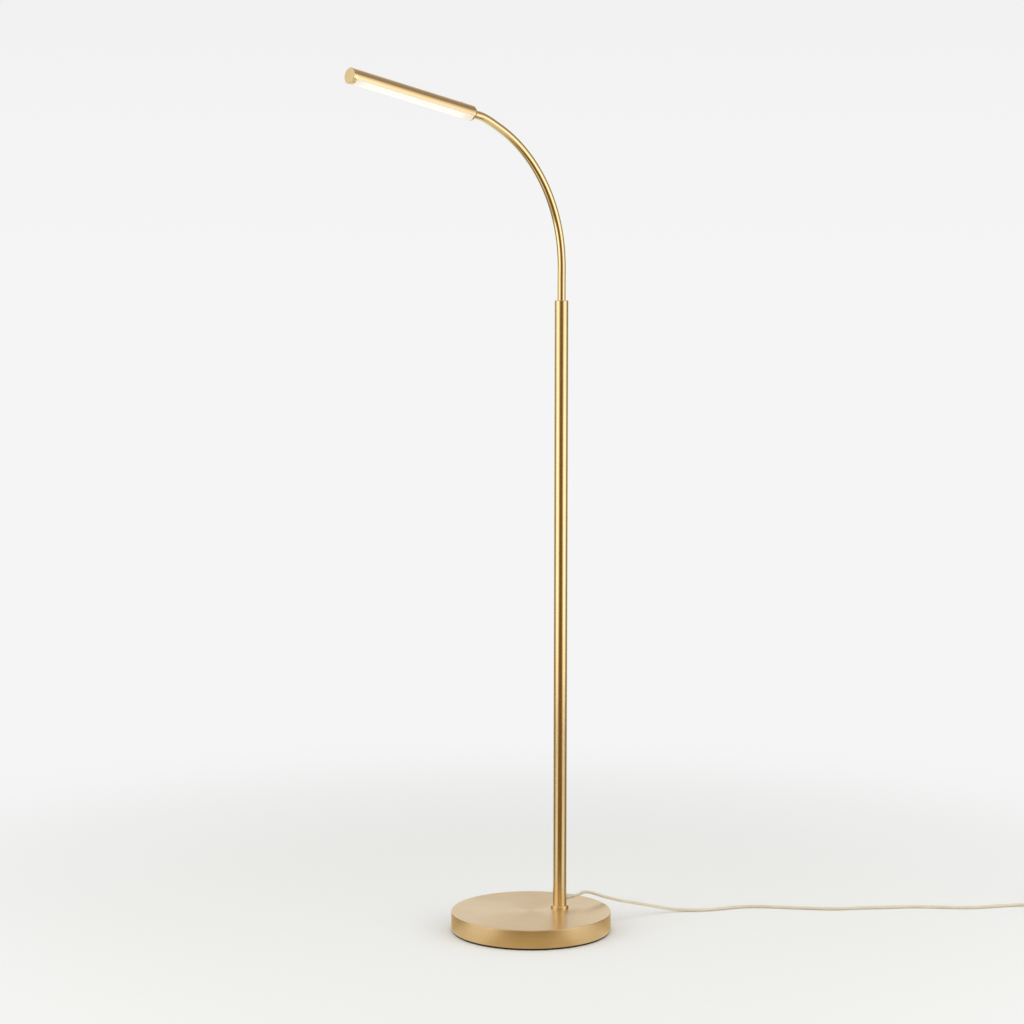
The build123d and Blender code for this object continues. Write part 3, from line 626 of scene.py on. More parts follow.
@dataclass
class Neck:
    """Gooseneck: one smooth wound tube, in a sleeve for each pivot."""

    stem_top: float = 1013.0 * MM
    straight: float = 53.3 * MM
    bend_radius: float = 240.0 * MM
    bend_deg: float = 75.3
    radius: float = 6.5 * MM
    link_count: int = 10
    first_pivot: float = 30.0 * MM
    last_setback: float = 14.0 * MM
    head_elevation_deg: float = 11.4
    ferrule_end: float = 2.8 * MM
    skin: float = 0.04 * MM
    ring_step: float = 1.6 * MM
    segments: int = 40
    bend_share: float = 0.42

    @property
    def head_axis(self) -> Vector:
        """Unit vector along the head, from the neck to its tip."""
        turn = math.radians(self.head_elevation_deg)
        return Vector((-math.cos(turn), 0, math.sin(turn)))

    @property
    def length(self) -> float:
        """Length of the neck's centre line."""
        return self.straight + self.bend_radius * math.radians(self.bend_deg)

    def arc(self, run: float) -> Vector:
        """Point of the plain centre line.

        Args:
            run: Length of neck between the stem's top and the point.

        Returns:
            The point.
        """
        if run <= self.straight:
            return Vector((*STEM, self.stem_top + run))
        turn = (run - self.straight) / self.bend_radius
        reach = self.bend_radius * (1 - math.cos(turn))
        rise = self.bend_radius * math.sin(turn)
        return Vector((STEM[0] - reach, STEM[1], self.stem_top + self.straight + rise))

    @property
    def head_root(self) -> Vector:
        """Point where the head's own length starts."""
        return self.arc(self.length)

    def knots(self) -> list[Vector]:
        """Find the points that the sleeve's centre line passes.

        Returns:
            The stem's top, every pivot and the ferrule's end.
        """
        pitch = (self.length - self.last_setback - self.first_pivot) / self.link_count
        pivots = [self.arc(self.first_pivot + pitch * n) for n in range(self.link_count)]
        pivots.append(self.head_root - self.head_axis * self.last_setback)
        end = self.head_root + self.head_axis * self.ferrule_end
        return [Vector((*STEM, self.stem_top)), *pivots, end]

    def centre_line(self) -> list[list[Vector]]:
        """Smooth line through the knots, as Hermite spans.

        Returns:
            The points of each span, both of its ends included.
        """
        knots = self.knots()
        ways = [(b - a).normalized() for a, b in zip(knots, knots[1:])]
        passing = [(a + b).normalized() for a, b in zip(ways, ways[1:])]
        tangents = [Vector((0, 0, 1)), *passing, self.head_axis]
        spans = []
        for here, there, leave, arrive in zip(knots, knots[1:], tangents, tangents[1:]):
            size = (there - here).length
            steps = max(4, 2 * round(size / self.ring_step / 2))
            span = []
            for step in range(steps + 1):
                t = step / steps
                span.append(here * (2 * t**3 - 3 * t**2 + 1) + leave * size * (t**3 - 2 * t**2 + t)
                            + there * (3 * t**2 - 2 * t**3) + arrive * size * (t**3 - t**2))
            spans.append(span)
        return spans

    def sleeve(self, name: str, line: Sequence[Vector], start_run: float) -> Piece:
        """Build one stretch of the tube round its centre line.

        Args:
            name: Name of the piece.
            line: Points of the centre line.
            start_run: Length of neck below the first point.

        Returns:
            The tube, with its run and turn kept as a UV map.
        """
        mesh = bmesh.new()
        layer = mesh.loops.layers.uv.new("sleeve")
        side = Vector((0, 1, 0))
        radius = self.radius + self.skin
        rings, runs = [], [start_run]
        for index, point in enumerate(line):
            before, after = line[max(index - 1, 0)], line[min(index + 1, len(line) - 1)]
            out = side.cross((after - before).normalized())
            turns = [2 * math.pi * step / self.segments for step in range(self.segments)]
            rings.append([point + (out * math.cos(turn) + side * math.sin(turn)) * radius for turn in turns])
            if index:
                runs.append(runs[-1] + (point - line[index - 1]).length)
        loft(mesh, rings)
        for number, face in enumerate(mesh.faces):
            row, step = divmod(number, self.segments)
            corners = ((step, row), (step + 1, row), (step + 1, row + 1), (step, row + 1))
            for loop, (turn, level) in zip(face.loops, corners):
                loop[layer].uv = (turn / self.segments, runs[level])
        return finish_mesh(name, mesh, sharp_deg=80)

    def build(self, material: Material) -> None:
        """Build a sleeve for each pivot.

        Args:
            material: Satin brass with the fine winding.
        """
        spans = self.centre_line()
        halves = [(span[:len(span) // 2 + 1], span[len(span) // 2:]) for span in spans]
        pivots = self.knots()[1:-1]
        run = 0.0
        for number, pivot in enumerate(pivots, start=1):
            below = spans[0] if number == 1 else halves[number - 1][1]
            above = spans[-1] if number == len(pivots) else halves[number][0]
            line = [*below, *above[1:]]
            piece = self.sleeve(f"neck_sleeve_{number}", line, run)
            run += sum((b - a).length for a, b in zip(line, line[1:]))
            dress(piece, material)
            if number <= self.link_count:
                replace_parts(piece, f"neck_link_{number}")
            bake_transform(piece)


@dataclass
class Head:
    """Tubular head: the opal trough, the push button on its crown and the grub screw of the rear cap."""

    root: Vector
    axis: Vector
    window_start: float = 15.3 * MM
    window_end: float = 239.5 * MM
    trough_radius: float = 11.2 * MM
    lip_radius: float = 10.7 * MM
    lip_from_deg: float = 68.0
    trough_bore: float = 9.2 * MM
    trough_half_angle_deg: float = 82.0
    trough_from: float = 16.8 * MM
    # Place, outer radius, bore and half angle of the thin end that laps the ring and the rear cap
    lap: tuple[tuple[float, float, float, float], ...] = (
        (10.8 * MM, 12.1 * MM, 12.06 * MM, 52.0), (11.0 * MM, 12.17 * MM, 12.06 * MM, 60.0),
        (11.6 * MM, 12.2 * MM, 12.06 * MM, 65.0), (12.4 * MM, 12.2 * MM, 12.06 * MM, 67.5),
        (15.1 * MM, 12.15 * MM, 12.06 * MM, 67.5), (15.4 * MM, 12.0 * MM, 9.2 * MM, 67.5),
        (16.1 * MM, 11.6 * MM, 9.2 * MM, 67.5), (16.6 * MM, 11.25 * MM, 9.2 * MM, 67.5))
    screw_place: float = 13.05 * MM
    screw_radius: float = 1.25 * MM
    screw_top: float = 11.7 * MM
    screw_length: float = 3.2 * MM
    socket_flat: float = 0.65 * MM
    button_place: float = 31.0 * MM
    button_radius: float = 3.0 * MM
    flange_radius: float = 3.8 * MM
    plunger_radius: float = 1.5 * MM
    button_levels: tuple[float, float, float, float] = (5.9 * MM, 8.8226 * MM, 10.0226 * MM, 12.2 * MM)

    @property
    def upward(self) -> Vector:
        """Unit vector from the head's axis to its crown."""
        return Vector((0, 1, 0)).cross(self.axis)

    def crown_frame(self, place: float) -> Matrix:
        """Frame on the head's axis whose z runs to the crown, a given length from the root."""
        return axis_frame(self.root + self.axis * place, self.upward)

    def trough(self) -> Piece:
        """Build the opal trough: a C section whose lips go into the shell and whose rear end laps the cap.

        Returns:
            The trough.
        """
        gap = self.window_end - self.trough_from
        stations = [*self.lap, *((self.trough_from + gap * n / 24, self.trough_radius, self.trough_bore,
                                  self.trough_half_angle_deg) for n in range(25))]
        side = self.axis.cross(self.upward)
        mesh = bmesh.new()
        rings = []
        for place, outer, bore, half_angle_deg in stations:
            limit = math.radians(half_angle_deg)
            angles = [-limit + 2 * limit * step / 40 for step in range(41)]
            lip = math.radians(self.lip_from_deg)
            points = [(outer if abs(a) < lip else min(outer, self.lip_radius), a) for a in angles]
            points += [(bore, a) for a in reversed(angles)]
            rings.append([self.root + self.axis * place
                          + (side * math.sin(angle) - self.upward * math.cos(angle)) * radius
                          for radius, angle in points])
        laid = loft(mesh, rings)
        for ring in (laid[0], laid[-1]):
            half = len(ring) // 2
            for step in range(half - 1):
                mesh.faces.new((ring[step], ring[step + 1], ring[-step - 2], ring[-step - 1]))
        return finish_mesh("opal_trough", mesh, sharp_deg=50)

    def button(self) -> Piece:
        """Build the push button: a plunger, a flange under the shell and a dished cap with a soft rim.

        Returns:
            The button.
        """
        bottom, flange_low, flange_high, top = self.button_levels
        rim, dish = 0.35 * MM, 0.4 * MM
        profile = [(0.0, bottom), (self.plunger_radius, bottom), (self.plunger_radius, flange_low),
                   (self.flange_radius, flange_low), (self.flange_radius, flange_high),
                   (self.button_radius, flange_high)]
        profile += arc_points((self.button_radius - rim, top - rim), rim, 0, 90, 6)
        profile += [(self.button_radius * share, top - dish * (1 - share**2))
                    for share in (0.7, 0.5, 0.25, 0.0)]
        return lathe("crown_button", profile, self.crown_frame(self.button_place), segments=64, closed=False)

    def grub_screw(self) -> Piece:
        """Build the grub screw with its hexagon socket.

        Returns:
            The screw.
        """
        low, rim = self.screw_top - self.screw_length, 0.15 * MM
        socket_floor = self.screw_top - 1.2 * MM
        profile = [(0.0, low), (self.screw_radius, low), (self.screw_radius, self.screw_top - rim),
                   (self.screw_radius - rim, self.screw_top), (self.socket_flat, self.screw_top),
                   (self.socket_flat, socket_floor), (0.0, socket_floor)]
        return lathe("rear_cap_grub_screw", profile, self.crown_frame(self.screw_place), segments=48,
                     closed=False, hexagons=(4, 5))

    def build(self, opal: Material, satin: Material, zinc: Material) -> None:
        """Build the head's own pieces.

        Args:
            opal: Lit opal acrylic.
            satin: Satin brass.
            zinc: Zinc-plated steel.
        """
        for piece, node, body, material, slot in (
                (self.trough(), "diffuser", "head", opal, "opal_diffuser"),
                (self.button(), "push_button", "button", satin, "satin_brass"),
                (self.grub_screw(), "rear_cap_screw", "head", zinc, "zinc_steel")):
            dress(piece, material)
            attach(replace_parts(piece, node), body)


@dataclass
class MainsLead:
    """Round two-core lead with its tapered strain reliefs, its put-away coil, the tie and the plug."""

    radius: float = 2.5 * MM
    exit: Point = (0.080, -0.0147, 0.0460)
    route: list[Point] = field(default_factory=lambda: [
        (0.089, -0.0147, 0.0460), (0.101, -0.0170, 0.0500), (0.114, -0.0226, 0.0472),
        (0.128, -0.0296, 0.0404), (0.150, -0.0380, 0.0328), (0.178, -0.0455, 0.0249),
        (0.206, -0.0520, 0.0175), (0.231, -0.0590, 0.0105), (0.250, -0.0670, 0.0056),
        (0.268, -0.0775, 0.0028), (0.291, -0.0975, 0.0026), (0.322, -0.1115, 0.0026),
        (0.355, -0.1210, 0.0026), (0.385, -0.1430, 0.0026), (0.408, -0.1720, 0.0026),
        (0.441, -0.2090, 0.0026), (0.464, -0.2350, 0.0026), (0.500, -0.2560, 0.0026),
        (0.541, -0.2870, 0.0026), (0.580, -0.3115, 0.0026), (0.613, -0.3500, 0.0026),
        (0.651, -0.3840, 0.0026), (0.699, -0.4060, 0.0026), (0.736, -0.4320, 0.00365),
        (0.778, -0.4640, 0.00365)])
    tail: list[Point] = field(default_factory=lambda: [
        (0.010, 0.0, 0.00915), (0.032, 0.0, 0.0084), (0.052, 0.0, 0.0044), (0.0655, -0.0095, 0.0026),
        (0.0705, -0.0250, 0.0026), (0.0655, -0.0405, 0.0026), (0.052, -0.0500, 0.0026),
        (0.031, -0.0500, 0.0075), (0.014, -0.0500, 0.0075)])
    coil_low: float = 3.65 * MM
    coil_lead_in: float = 5.0 * MM
    layer_rise: float = 5.5 * MM
    coil_radius: float = 37.05 * MM
    coil_step: float = 2.55 * MM
    turns_in: int = 6
    turns_out: int = 5
    points_per_half_turn: int = 6
    length: float = 2.04
    relief_gap: float = 0.05 * MM
    relief_neck: float = 3.5 * MM
    relief_wide: float = 4.0 * MM
    relief_narrow: float = 2.9 * MM
    wall_from: float = 9.8 * MM
    flange_from: float = 10.4 * MM
    flange_to: float = 13.0 * MM
    relief_to: float = 31.0 * MM
    plug_relief_wide: float = 4.2 * MM
    plug_relief_length: float = 22.0 * MM
    plug_length: float = 36.0 * MM
    blade_length: float = 16.0 * MM
    blade_width: float = 6.3 * MM
    blade_thickness: float = 1.5 * MM
    blade_spacing: float = 12.7 * MM
    blade_hole: float = 1.6 * MM
    tie_middle: Point = (0.005, 0.036, 0.0064)
    tie_band: tuple[float, float] = (27.6 * MM, 9.5 * MM)
    tie_half_height: float = 6.4 * MM
    tie_width: float = 9.0 * MM
    tie_thickness: float = 0.8 * MM
    tie_corner: float = 1.8 * MM
    lock_half_width: float = 3.4 * MM
    lock_half_height: float = 2.6 * MM
    lock_corner: float = 0.8 * MM
    # Depth beyond the band and inset of each ring of the tie's lock
    lock_rings: tuple[Span, ...] = ((-0.4 * MM, 0.0), (2.2 * MM, 0.0), (2.8 * MM, 0.6 * MM))

    @property
    def coil_frame(self) -> Matrix:
        """Frame of the coil, on the floor below its entry.

        Returns:
            A 4x4 matrix whose x runs on along the lead.
        """
        before, entry = Vector(self.route[-2]), Vector(self.route[-1])
        heading = Vector((entry.x - before.x, entry.y - before.y, 0)).normalized()
        across = Vector((0, 0, 1)).cross(heading)
        frame = Matrix((heading, across, Vector((0, 0, 1)))).transposed().to_4x4()
        frame.translation = Vector((entry.x, entry.y, 0))
        return frame

    def coil_points(self) -> list[Vector]:
        """Control points of the coil: it winds in, climbs one layer in half a turn and winds out.

        Returns:
            Points in the model's frame.
        """
        frame = self.coil_frame
        half_turns = self.turns_in + 1 + self.turns_out
        count = half_turns * self.points_per_half_turn
        step = math.pi / self.points_per_half_turn
        stand_off = 1 / math.cos(step / 2)
        points = []
        for index in range(count):
            share = (index + 0.5) / self.points_per_half_turn
            climb = min(max(share - self.turns_in, 0.0), 1.0)
            wound = min(share, self.turns_in) - max(share - self.turns_in - 1, 0.0)
            reach = (self.coil_radius - self.coil_step * wound) * stand_off
            angle = -math.pi / 2 + share * math.pi
            centre_y = self.coil_radius - self.coil_step * climb
            local = Vector((self.coil_lead_in + reach * math.cos(angle), centre_y + reach * math.sin(angle),
                            self.coil_low + self.layer_rise * climb))
            points.append(frame @ local)
        return points

    def tail_points(self) -> list[Vector]:
        """Control points from the coil's upper layer, down and round, to the plug's strain relief."""
        return [self.coil_frame @ Vector(point) for point in self.tail]

    def lead(self) -> Piece:
        """Build the lead as one smooth spline from the stem to the plug.

        Returns:
            The curve.
        """
        points = [Vector(self.exit), *[Vector(point) for point in self.route], *self.coil_points(),
                  *self.tail_points()]
        curve = bpy.data.curves.new("mains_lead", "CURVE")
        curve.dimensions = "3D"
        curve.bevel_depth = self.radius
        curve.bevel_resolution = 6
        curve.resolution_u = 8
        curve.use_fill_caps = True
        spline = curve.splines.new("NURBS")
        spline.points.add(len(points) - 1)
        for knot, point in zip(spline.points, points):
            knot.co = (*point, 1.0)
        spline.order_u = 3
        spline.use_endpoint_u = True
        return place_object("mains_lead", curve)

    @property
    def plug_frame(self) -> Matrix:
        """Frame at the end of the lead.

        Returns:
            A 4x4 matrix whose z runs into the plug, x is level and y is upright.
        """
        before, end = (self.coil_frame @ Vector(point) for point in self.tail[-2:])
        heading = (end - before).normalized()
        upright = Vector((0, 0, 1))
        frame = Matrix((upright.cross(heading), upright, heading)).transposed().to_4x4()
        frame.translation = end
        return frame

    def stem_relief(self) -> Piece:
        """Build the ribbed strain relief: a neck in the stem's wall, a flange and a tapered boot.

        Returns:
            The strain relief.
        """
        bore = self.radius + self.relief_gap
        rim = 0.5 * MM
        profile = [(bore, self.wall_from), (self.relief_neck, self.wall_from),
                   (self.relief_neck, self.flange_from), (self.relief_wide, self.flange_from)]
        profile += arc_points((self.relief_wide - rim, self.flange_to - rim), rim, 0, 90, 4)
        profile += ribbed_taper(self.flange_to, self.relief_to, self.relief_wide - 0.2 * MM,
                                self.relief_narrow, 6, 0.35 * MM)
        profile += [(bore, self.relief_to)]
        frame = axis_frame(Vector((STEM[0], *self.exit[1:])), Vector((1, 0, 0)))
        return lathe("lead_relief_boot", profile, frame, segments=48)

    def plug_relief(self) -> Piece:
        """Build the plug's ribbed strain relief.

        Returns:
            The strain relief.
        """
        bore = self.radius + self.relief_gap
        boot = ribbed_taper(self.plug_relief_length, 0.0, self.plug_relief_wide, self.relief_narrow,
                            7, 0.4 * MM)
        profile = [(bore, self.plug_relief_length), *boot, (bore, 0.0)]
        return lathe("plug_relief_boot", profile, self.plug_frame, segments=48)

    def plug_body(self) -> Piece:
        """Build the moulded plug: a waisted body with finger ribs and a stepped rim at its face.

        Returns:
            The plug body.
        """
        # Place along the plug, half width, half height and corner radius, in millimetres
        sections = [(0.0, 5.0, 5.6, 2.6), (0.5, 6.0, 6.4, 3.0), (2.0, 7.6, 6.9, 3.2), (5.0, 9.3, 7.0, 3.2)]
        for rib in range(6):
            place = 7.0 + 2.4 * rib
            sections += [(place, 9.9, 6.95, 3.0), (place + 0.4, 9.4, 6.6, 3.0), (place + 1.1, 9.4, 6.6, 3.0),
                         (place + 1.5, 10.0, 6.95, 3.0)]
        sections += [(22.5, 10.4, 7.0, 3.0), (27.0, 11.6, 7.2, 3.0), (30.5, 12.3, 7.4, 3.0),
                     (31.0, 12.5, 7.5, 3.0), (35.2, 12.5, 7.5, 3.0), (35.8, 12.3, 7.3, 2.8),
                     (36.0, 11.9, 6.9, 2.4)]
        mesh = bmesh.new()
        rings = []
        for place, wide, high, corner in sections:
            outline = rounded_outline(wide * MM, high * MM, corner * MM)
            lift = self.plug_relief_length + place * MM
            rings.append([self.plug_frame @ Vector((x, y, lift)) for x, y in outline])
        loft(mesh, rings, capped=True)
        return finish_mesh("plug_moulding", mesh, sharp_deg=50)

    def plug_blades(self) -> Piece:
        """Build the two blades as stamped strips with rounded noses and a hole near each nose.

        Returns:
            Both blades as one mesh.
        """
        curve = bpy.data.curves.new("plug_blade_outline", "CURVE")
        curve.dimensions = "2D"
        curve.fill_mode = "BOTH"
        soft_edge, nose, hole_setback = 0.15 * MM, 1.6 * MM, 4.0 * MM
        curve.extrude = self.blade_thickness / 2 - soft_edge
        curve.bevel_depth = soft_edge
        high = self.blade_width / 2
        outline = [(0.0, -high), *arc_points((self.blade_length - nose, nose - high), nose, -90, 0, 6),
                   *arc_points((self.blade_length - nose, high - nose), nose, 0, 90, 6), (0.0, high)]
        hole = arc_points((self.blade_length - hole_setback, 0.0), self.blade_hole, 0, -345, 23)
        for loop in (outline, hole):
            spline = curve.splines.new("POLY")
            spline.points.add(len(loop) - 1)
            for knot, (x, y) in zip(spline.points, loop):
                knot.co = (x, y, 0.0, 1.0)
            spline.use_cyclic_u = True
        pattern = bpy.data.objects.new("plug_blade_outline", curve)
        strip = bpy.data.meshes.new_from_object(pattern)
        bpy.data.objects.remove(pattern)
        mesh = bmesh.new()
        root = self.plug_relief_length + self.plug_length
        for side in (-0.5, 0.5):
            first = len(mesh.verts)
            mesh.from_mesh(strip)
            mesh.verts.ensure_lookup_table()
            for point in mesh.verts[first:]:
                along, up, across = point.co
                point.co = self.plug_frame @ Vector((side * self.blade_spacing + across, up, root + along))
        return finish_mesh("plug_stamped_blades", mesh)

    def tie(self) -> Piece:
        """Build the coil's tie: a soft band with rounded bends, closed by a small lock on its outer side.

        Returns:
            The tie.
        """
        radius, half_depth = self.tie_band
        sweep = self.tie_width / radius
        mesh = bmesh.new()
        loops = []
        for growth, edge in ((0.0, 0.0), (self.tie_thickness, 0.0), (self.tie_thickness, 1.0), (0.0, 1.0)):
            outline = rounded_outline(half_depth - self.tie_thickness + growth,
                                      self.tie_half_height - self.tie_thickness + growth,
                                      self.tie_corner + growth)
            steps = [edge] if edge == 0.0 else [0.12, 0.5, 0.88, 1.0]
            loops += [(outline, step) for step in (steps if growth else reversed(steps))]
        frame = self.coil_frame @ Matrix.Translation(self.tie_middle)
        rings = []
        for outline, step in loops:
            angle = math.pi + sweep * (step - 0.5)
            heading = Vector((math.cos(angle), math.sin(angle), 0))
            rings.append([frame @ (heading * (radius + x) + Vector((0, 0, y))) for x, y in outline])
        loft(mesh, rings, looped=True)
        lock = []
        for depth, inset in self.lock_rings:
            outer = radius + half_depth + depth
            wide, high, corner = self.lock_half_width - inset, self.lock_half_height - inset, self.lock_corner
            outline = rounded_outline(wide, high, corner)
            lock.append([frame @ Vector((-outer, x, y)) for x, y in outline])
        loft(mesh, lock, capped=True)
        return finish_mesh("coil_tie_band", mesh, sharp_deg=45)

    def build(self, vinyl: Material, brass: Material, nylon: Material) -> None:
        """Build the lead and what is on it.

        Args:
            vinyl: Clear gold vinyl of the lead.
            brass: Stamped brass of the blades.
            nylon: Nylon of the tie.
        """
        lead = self.lead()
        lead.data.materials.append(vinyl)
        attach(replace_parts(lead, "cord_run", "cord_coil", "cord_tail"), "stand")
        boot = dress(self.stem_relief(), vinyl)
        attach(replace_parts(boot, "cord_relief"), "stand")
        for piece, node, material, slot in (
                (self.plug_relief(), "plug_relief", vinyl, "clear_gold_vinyl"),
                (self.plug_body(), "plug_body", vinyl, "clear_gold_vinyl"),
                (self.plug_blades(), "plug_blades", brass, "blade_brass"),
                (self.tie(), "coil_tie", nylon, "tie_plastic")):
            dress(piece, material)
            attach(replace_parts(piece, node), "stand")


@dataclass
class Viewpoint:
    """Camera of the photograph: a long lens a little above the middle of the lamp."""

    place: Point = (-2.75035, -3.11591, 1.095)
    heading_deg: float = 41.0
    pitch_deg: float = 5.73
    roll_deg: float = 0.076
    lens: float = 92.4
    sensor: float = 36.0

    def build(self) -> None:
        """Create the camera and make it the scene's own."""
        data = bpy.data.cameras.new("viewpoint")
        data.lens = self.lens
        data.sensor_width = self.sensor
        data.clip_end = 200.0
        camera = place_object("viewpoint", data)
        turn = Matrix.Rotation(math.radians(-self.heading_deg), 4, "Z")
        lean = Matrix.Rotation(math.radians(90 - self.pitch_deg), 4, "X")
        roll = Matrix.Rotation(math.radians(self.roll_deg), 4, "Z")
        camera.matrix_world = Matrix.Translation(self.place) @ turn @ lean @ roll
        bpy.context.scene.camera = camera
        bpy.context.scene.view_settings.view_transform = "Standard"


@dataclass
class Studio:
    """Plain pale studio: a seamless floor, two tall soft boxes, an overhead fill and a pale surround."""

    heading_deg: float = 41.0
    floor_radius: float = 40.0
    floor_tint: str = "#F0F0ED"
    far_tint: str = "#F5F5F5"
    sky_tint: str = "#F1F1F1"
    fade: Span = (0.4, 1.7)
    near_floor: Span = (0.16, 0.42)
    # Painted reflection: the colour in which the metal sees the floor round the foot, darker and warmer than
    # the paper
    painted_floor_reflection_tint: str = "#CDBB95"
    far_floor: Span = (0.8, 1.6)
    box_tint: str = "#FFFBF0"
    box_spread_deg: Span = (8.0, 32.0)
    weakest_share: float = 0.5
    near_room_tint: str = "#7A5E24"
    side_room_tint: str = "#8C8472"
    ceiling_tint: str = "#BBB1A0"
    # Cosines with the viewing direction between which the near room gives way, and then the side room
    side_from: Span = (-0.6, 0.2)
    backdrop_from: Span = (0.55, 0.9)
    # Sines of height between which the ceiling takes over, and where the backdrop's haze ends
    ceiling_from: Span = (0.35, 0.8)
    haze_top: float = 0.1
    fill_level: float = 0.6
    box_size: tuple[float, float] = (4.4, 3.0)
    box_distance: float = 2.1
    box_height: float = 1.5
    box_turn_deg: float = 61.0
    box_radiance: float = 1.28
    box_top_fade: float = 0.5
    glow_tint: str = "#F5F1E8"
    side_glow: tuple[float, float, float, float] = (-81.5, 8.0, 5.0, 22.0)
    front_glow: tuple[float, float, float, float] = (180.0, 34.0, 12.0, 30.0)
    top_size: float = 2.4
    top_height: float = 3.2
    top_radiance: float = 1.25

    @property
    def forward(self) -> Vector:
        """Level direction in which the photograph looks."""
        turn = math.radians(self.heading_deg)
        return Vector((math.sin(turn), math.cos(turn), 0))

    def outward(self, side: int) -> Vector:
        """Level direction from the lamp to the soft box on one side, -1 or 1."""
        turn = Matrix.Rotation(math.radians(-side * self.box_turn_deg), 3, "Z")
        return -(turn.inverted() @ self.forward)

    def room(self, tree: Tree, way: Socket | Node) -> tuple[Node, Node]:
        """Colour of what stands round the lamp, by heading.

        Args:
            tree: Node tree.
            way: Unit vector of the direction.

        Returns:
            Colour of the dim room, and the backdrop's share.
        """
        facing = add_node(tree, "ShaderNodeVectorMath", {0: way, 1: self.forward}, operation="DOT_PRODUCT")
        aside, beyond = (add_node(tree, "ShaderNodeMapRange", {
            "Value": facing, "From Min": first, "From Max": last}, interpolation_type="SMOOTHSTEP")
            for first, last in (self.side_from, self.backdrop_from))
        walls = add_node(tree, "ShaderNodeMix", {
            "Factor": aside, 6: linear(self.near_room_tint), 7: linear(self.side_room_tint)},
            data_type="RGBA")
        return walls, beyond

    def patch(self, tree: Tree, way: Socket | Node, aim: Vector, spread_deg: Span) -> Node:
        """Share of a soft round patch.

        Args:
            tree: Node tree.
            way: Unit vector of the direction.
            aim: Unit vector to the patch's middle.
            spread_deg: Angles from the middle at which it starts to fade and ends.

        Returns:
            Node with the share, 1 in the middle.
        """
        inner, outer = (math.cos(math.radians(angle)) for angle in spread_deg)
        near = add_node(tree, "ShaderNodeVectorMath", {0: way, 1: aim}, operation="DOT_PRODUCT")
        return add_node(tree, "ShaderNodeMapRange", {"Value": near, "From Min": outer, "From Max": inner},
                        interpolation_type="SMOOTHSTEP")

    def floor(self) -> Piece:
        """Build the floor: pale paper near the lamp, one with the backdrop far from it.

        In the polished metal it carries on what stands above it: soft boxes, dim room and backdrop; round the
        lamp's foot the metal sees in it a painted reflection, darker and warmer than the paper.

        Returns:
            The floor.
        """
        mesh = bmesh.new()
        bmesh.ops.create_circle(mesh, cap_ends=True, segments=96, radius=self.floor_radius)
        piece = finish_mesh("studio_floor", mesh)
        material, tree, place = blank_material("studio_floor_paper")
        away = add_node(tree, "ShaderNodeVectorMath", {0: place}, operation="LENGTH")
        far, off = (add_node(tree, "ShaderNodeMapRange", {
            "Value": away, "From Min": first, "From Max": last}, interpolation_type="SMOOTHSTEP")
            for first, last in (self.fade, self.near_floor))
        seen, glossy = ray_kinds(tree)
        distant = add_node(tree, "ShaderNodeMath", {0: far, 1: seen}, operation="MULTIPLY")
        share = add_node(tree, "ShaderNodeMath", {0: distant, 1: glossy}, operation="MAXIMUM")
        way = add_node(tree, "ShaderNodeVectorMath", {0: place}, operation="NORMALIZE")
        walls, beyond = self.room(tree, way)
        # Round the foot the metal sees a painted reflection of the floor, darker and warmer than the paper
        ground = add_node(tree, "ShaderNodeMix", {
            "Factor": off, 6: linear(self.painted_floor_reflection_tint), 7: walls}, data_type="RGBA")
        mirrored = add_node(tree, "ShaderNodeMix", {
            "Factor": beyond, 6: ground, 7: linear(self.far_tint)}, data_type="RGBA")
        rising, falling = (add_node(tree, "ShaderNodeMapRange", {
            "Value": away, "From Min": first, "From Max": last, "To Min": self.weakest_share},
            interpolation_type="SMOOTHSTEP") for first, last in (self.near_floor, self.far_floor[::-1]))
        level = add_node(tree, "ShaderNodeMath", {0: rising, 1: falling}, operation="MULTIPLY")
        for side in (-1, 1):
            patch = self.patch(tree, way, self.outward(side), self.box_spread_deg)
            patch = add_node(tree, "ShaderNodeMath", {0: patch, 1: level}, operation="MULTIPLY")
            mirrored = add_node(tree, "ShaderNodeMix", {
                "Factor": patch, 6: mirrored, 7: linear(self.box_tint)}, data_type="RGBA")
        glow = add_node(tree, "ShaderNodeMix", {
            "Factor": glossy, 6: linear(self.far_tint), 7: mirrored}, data_type="RGBA")
        paper = add_node(tree, "ShaderNodeBsdfDiffuse", {"Color": linear(self.floor_tint)})
        haze = add_node(tree, "ShaderNodeEmission", {"Color": glow})
        close_material(tree, add_node(tree, "ShaderNodeMixShader", {0: share, 1: paper, 2: haze}))
        piece.data.materials.append(material)
        return piece

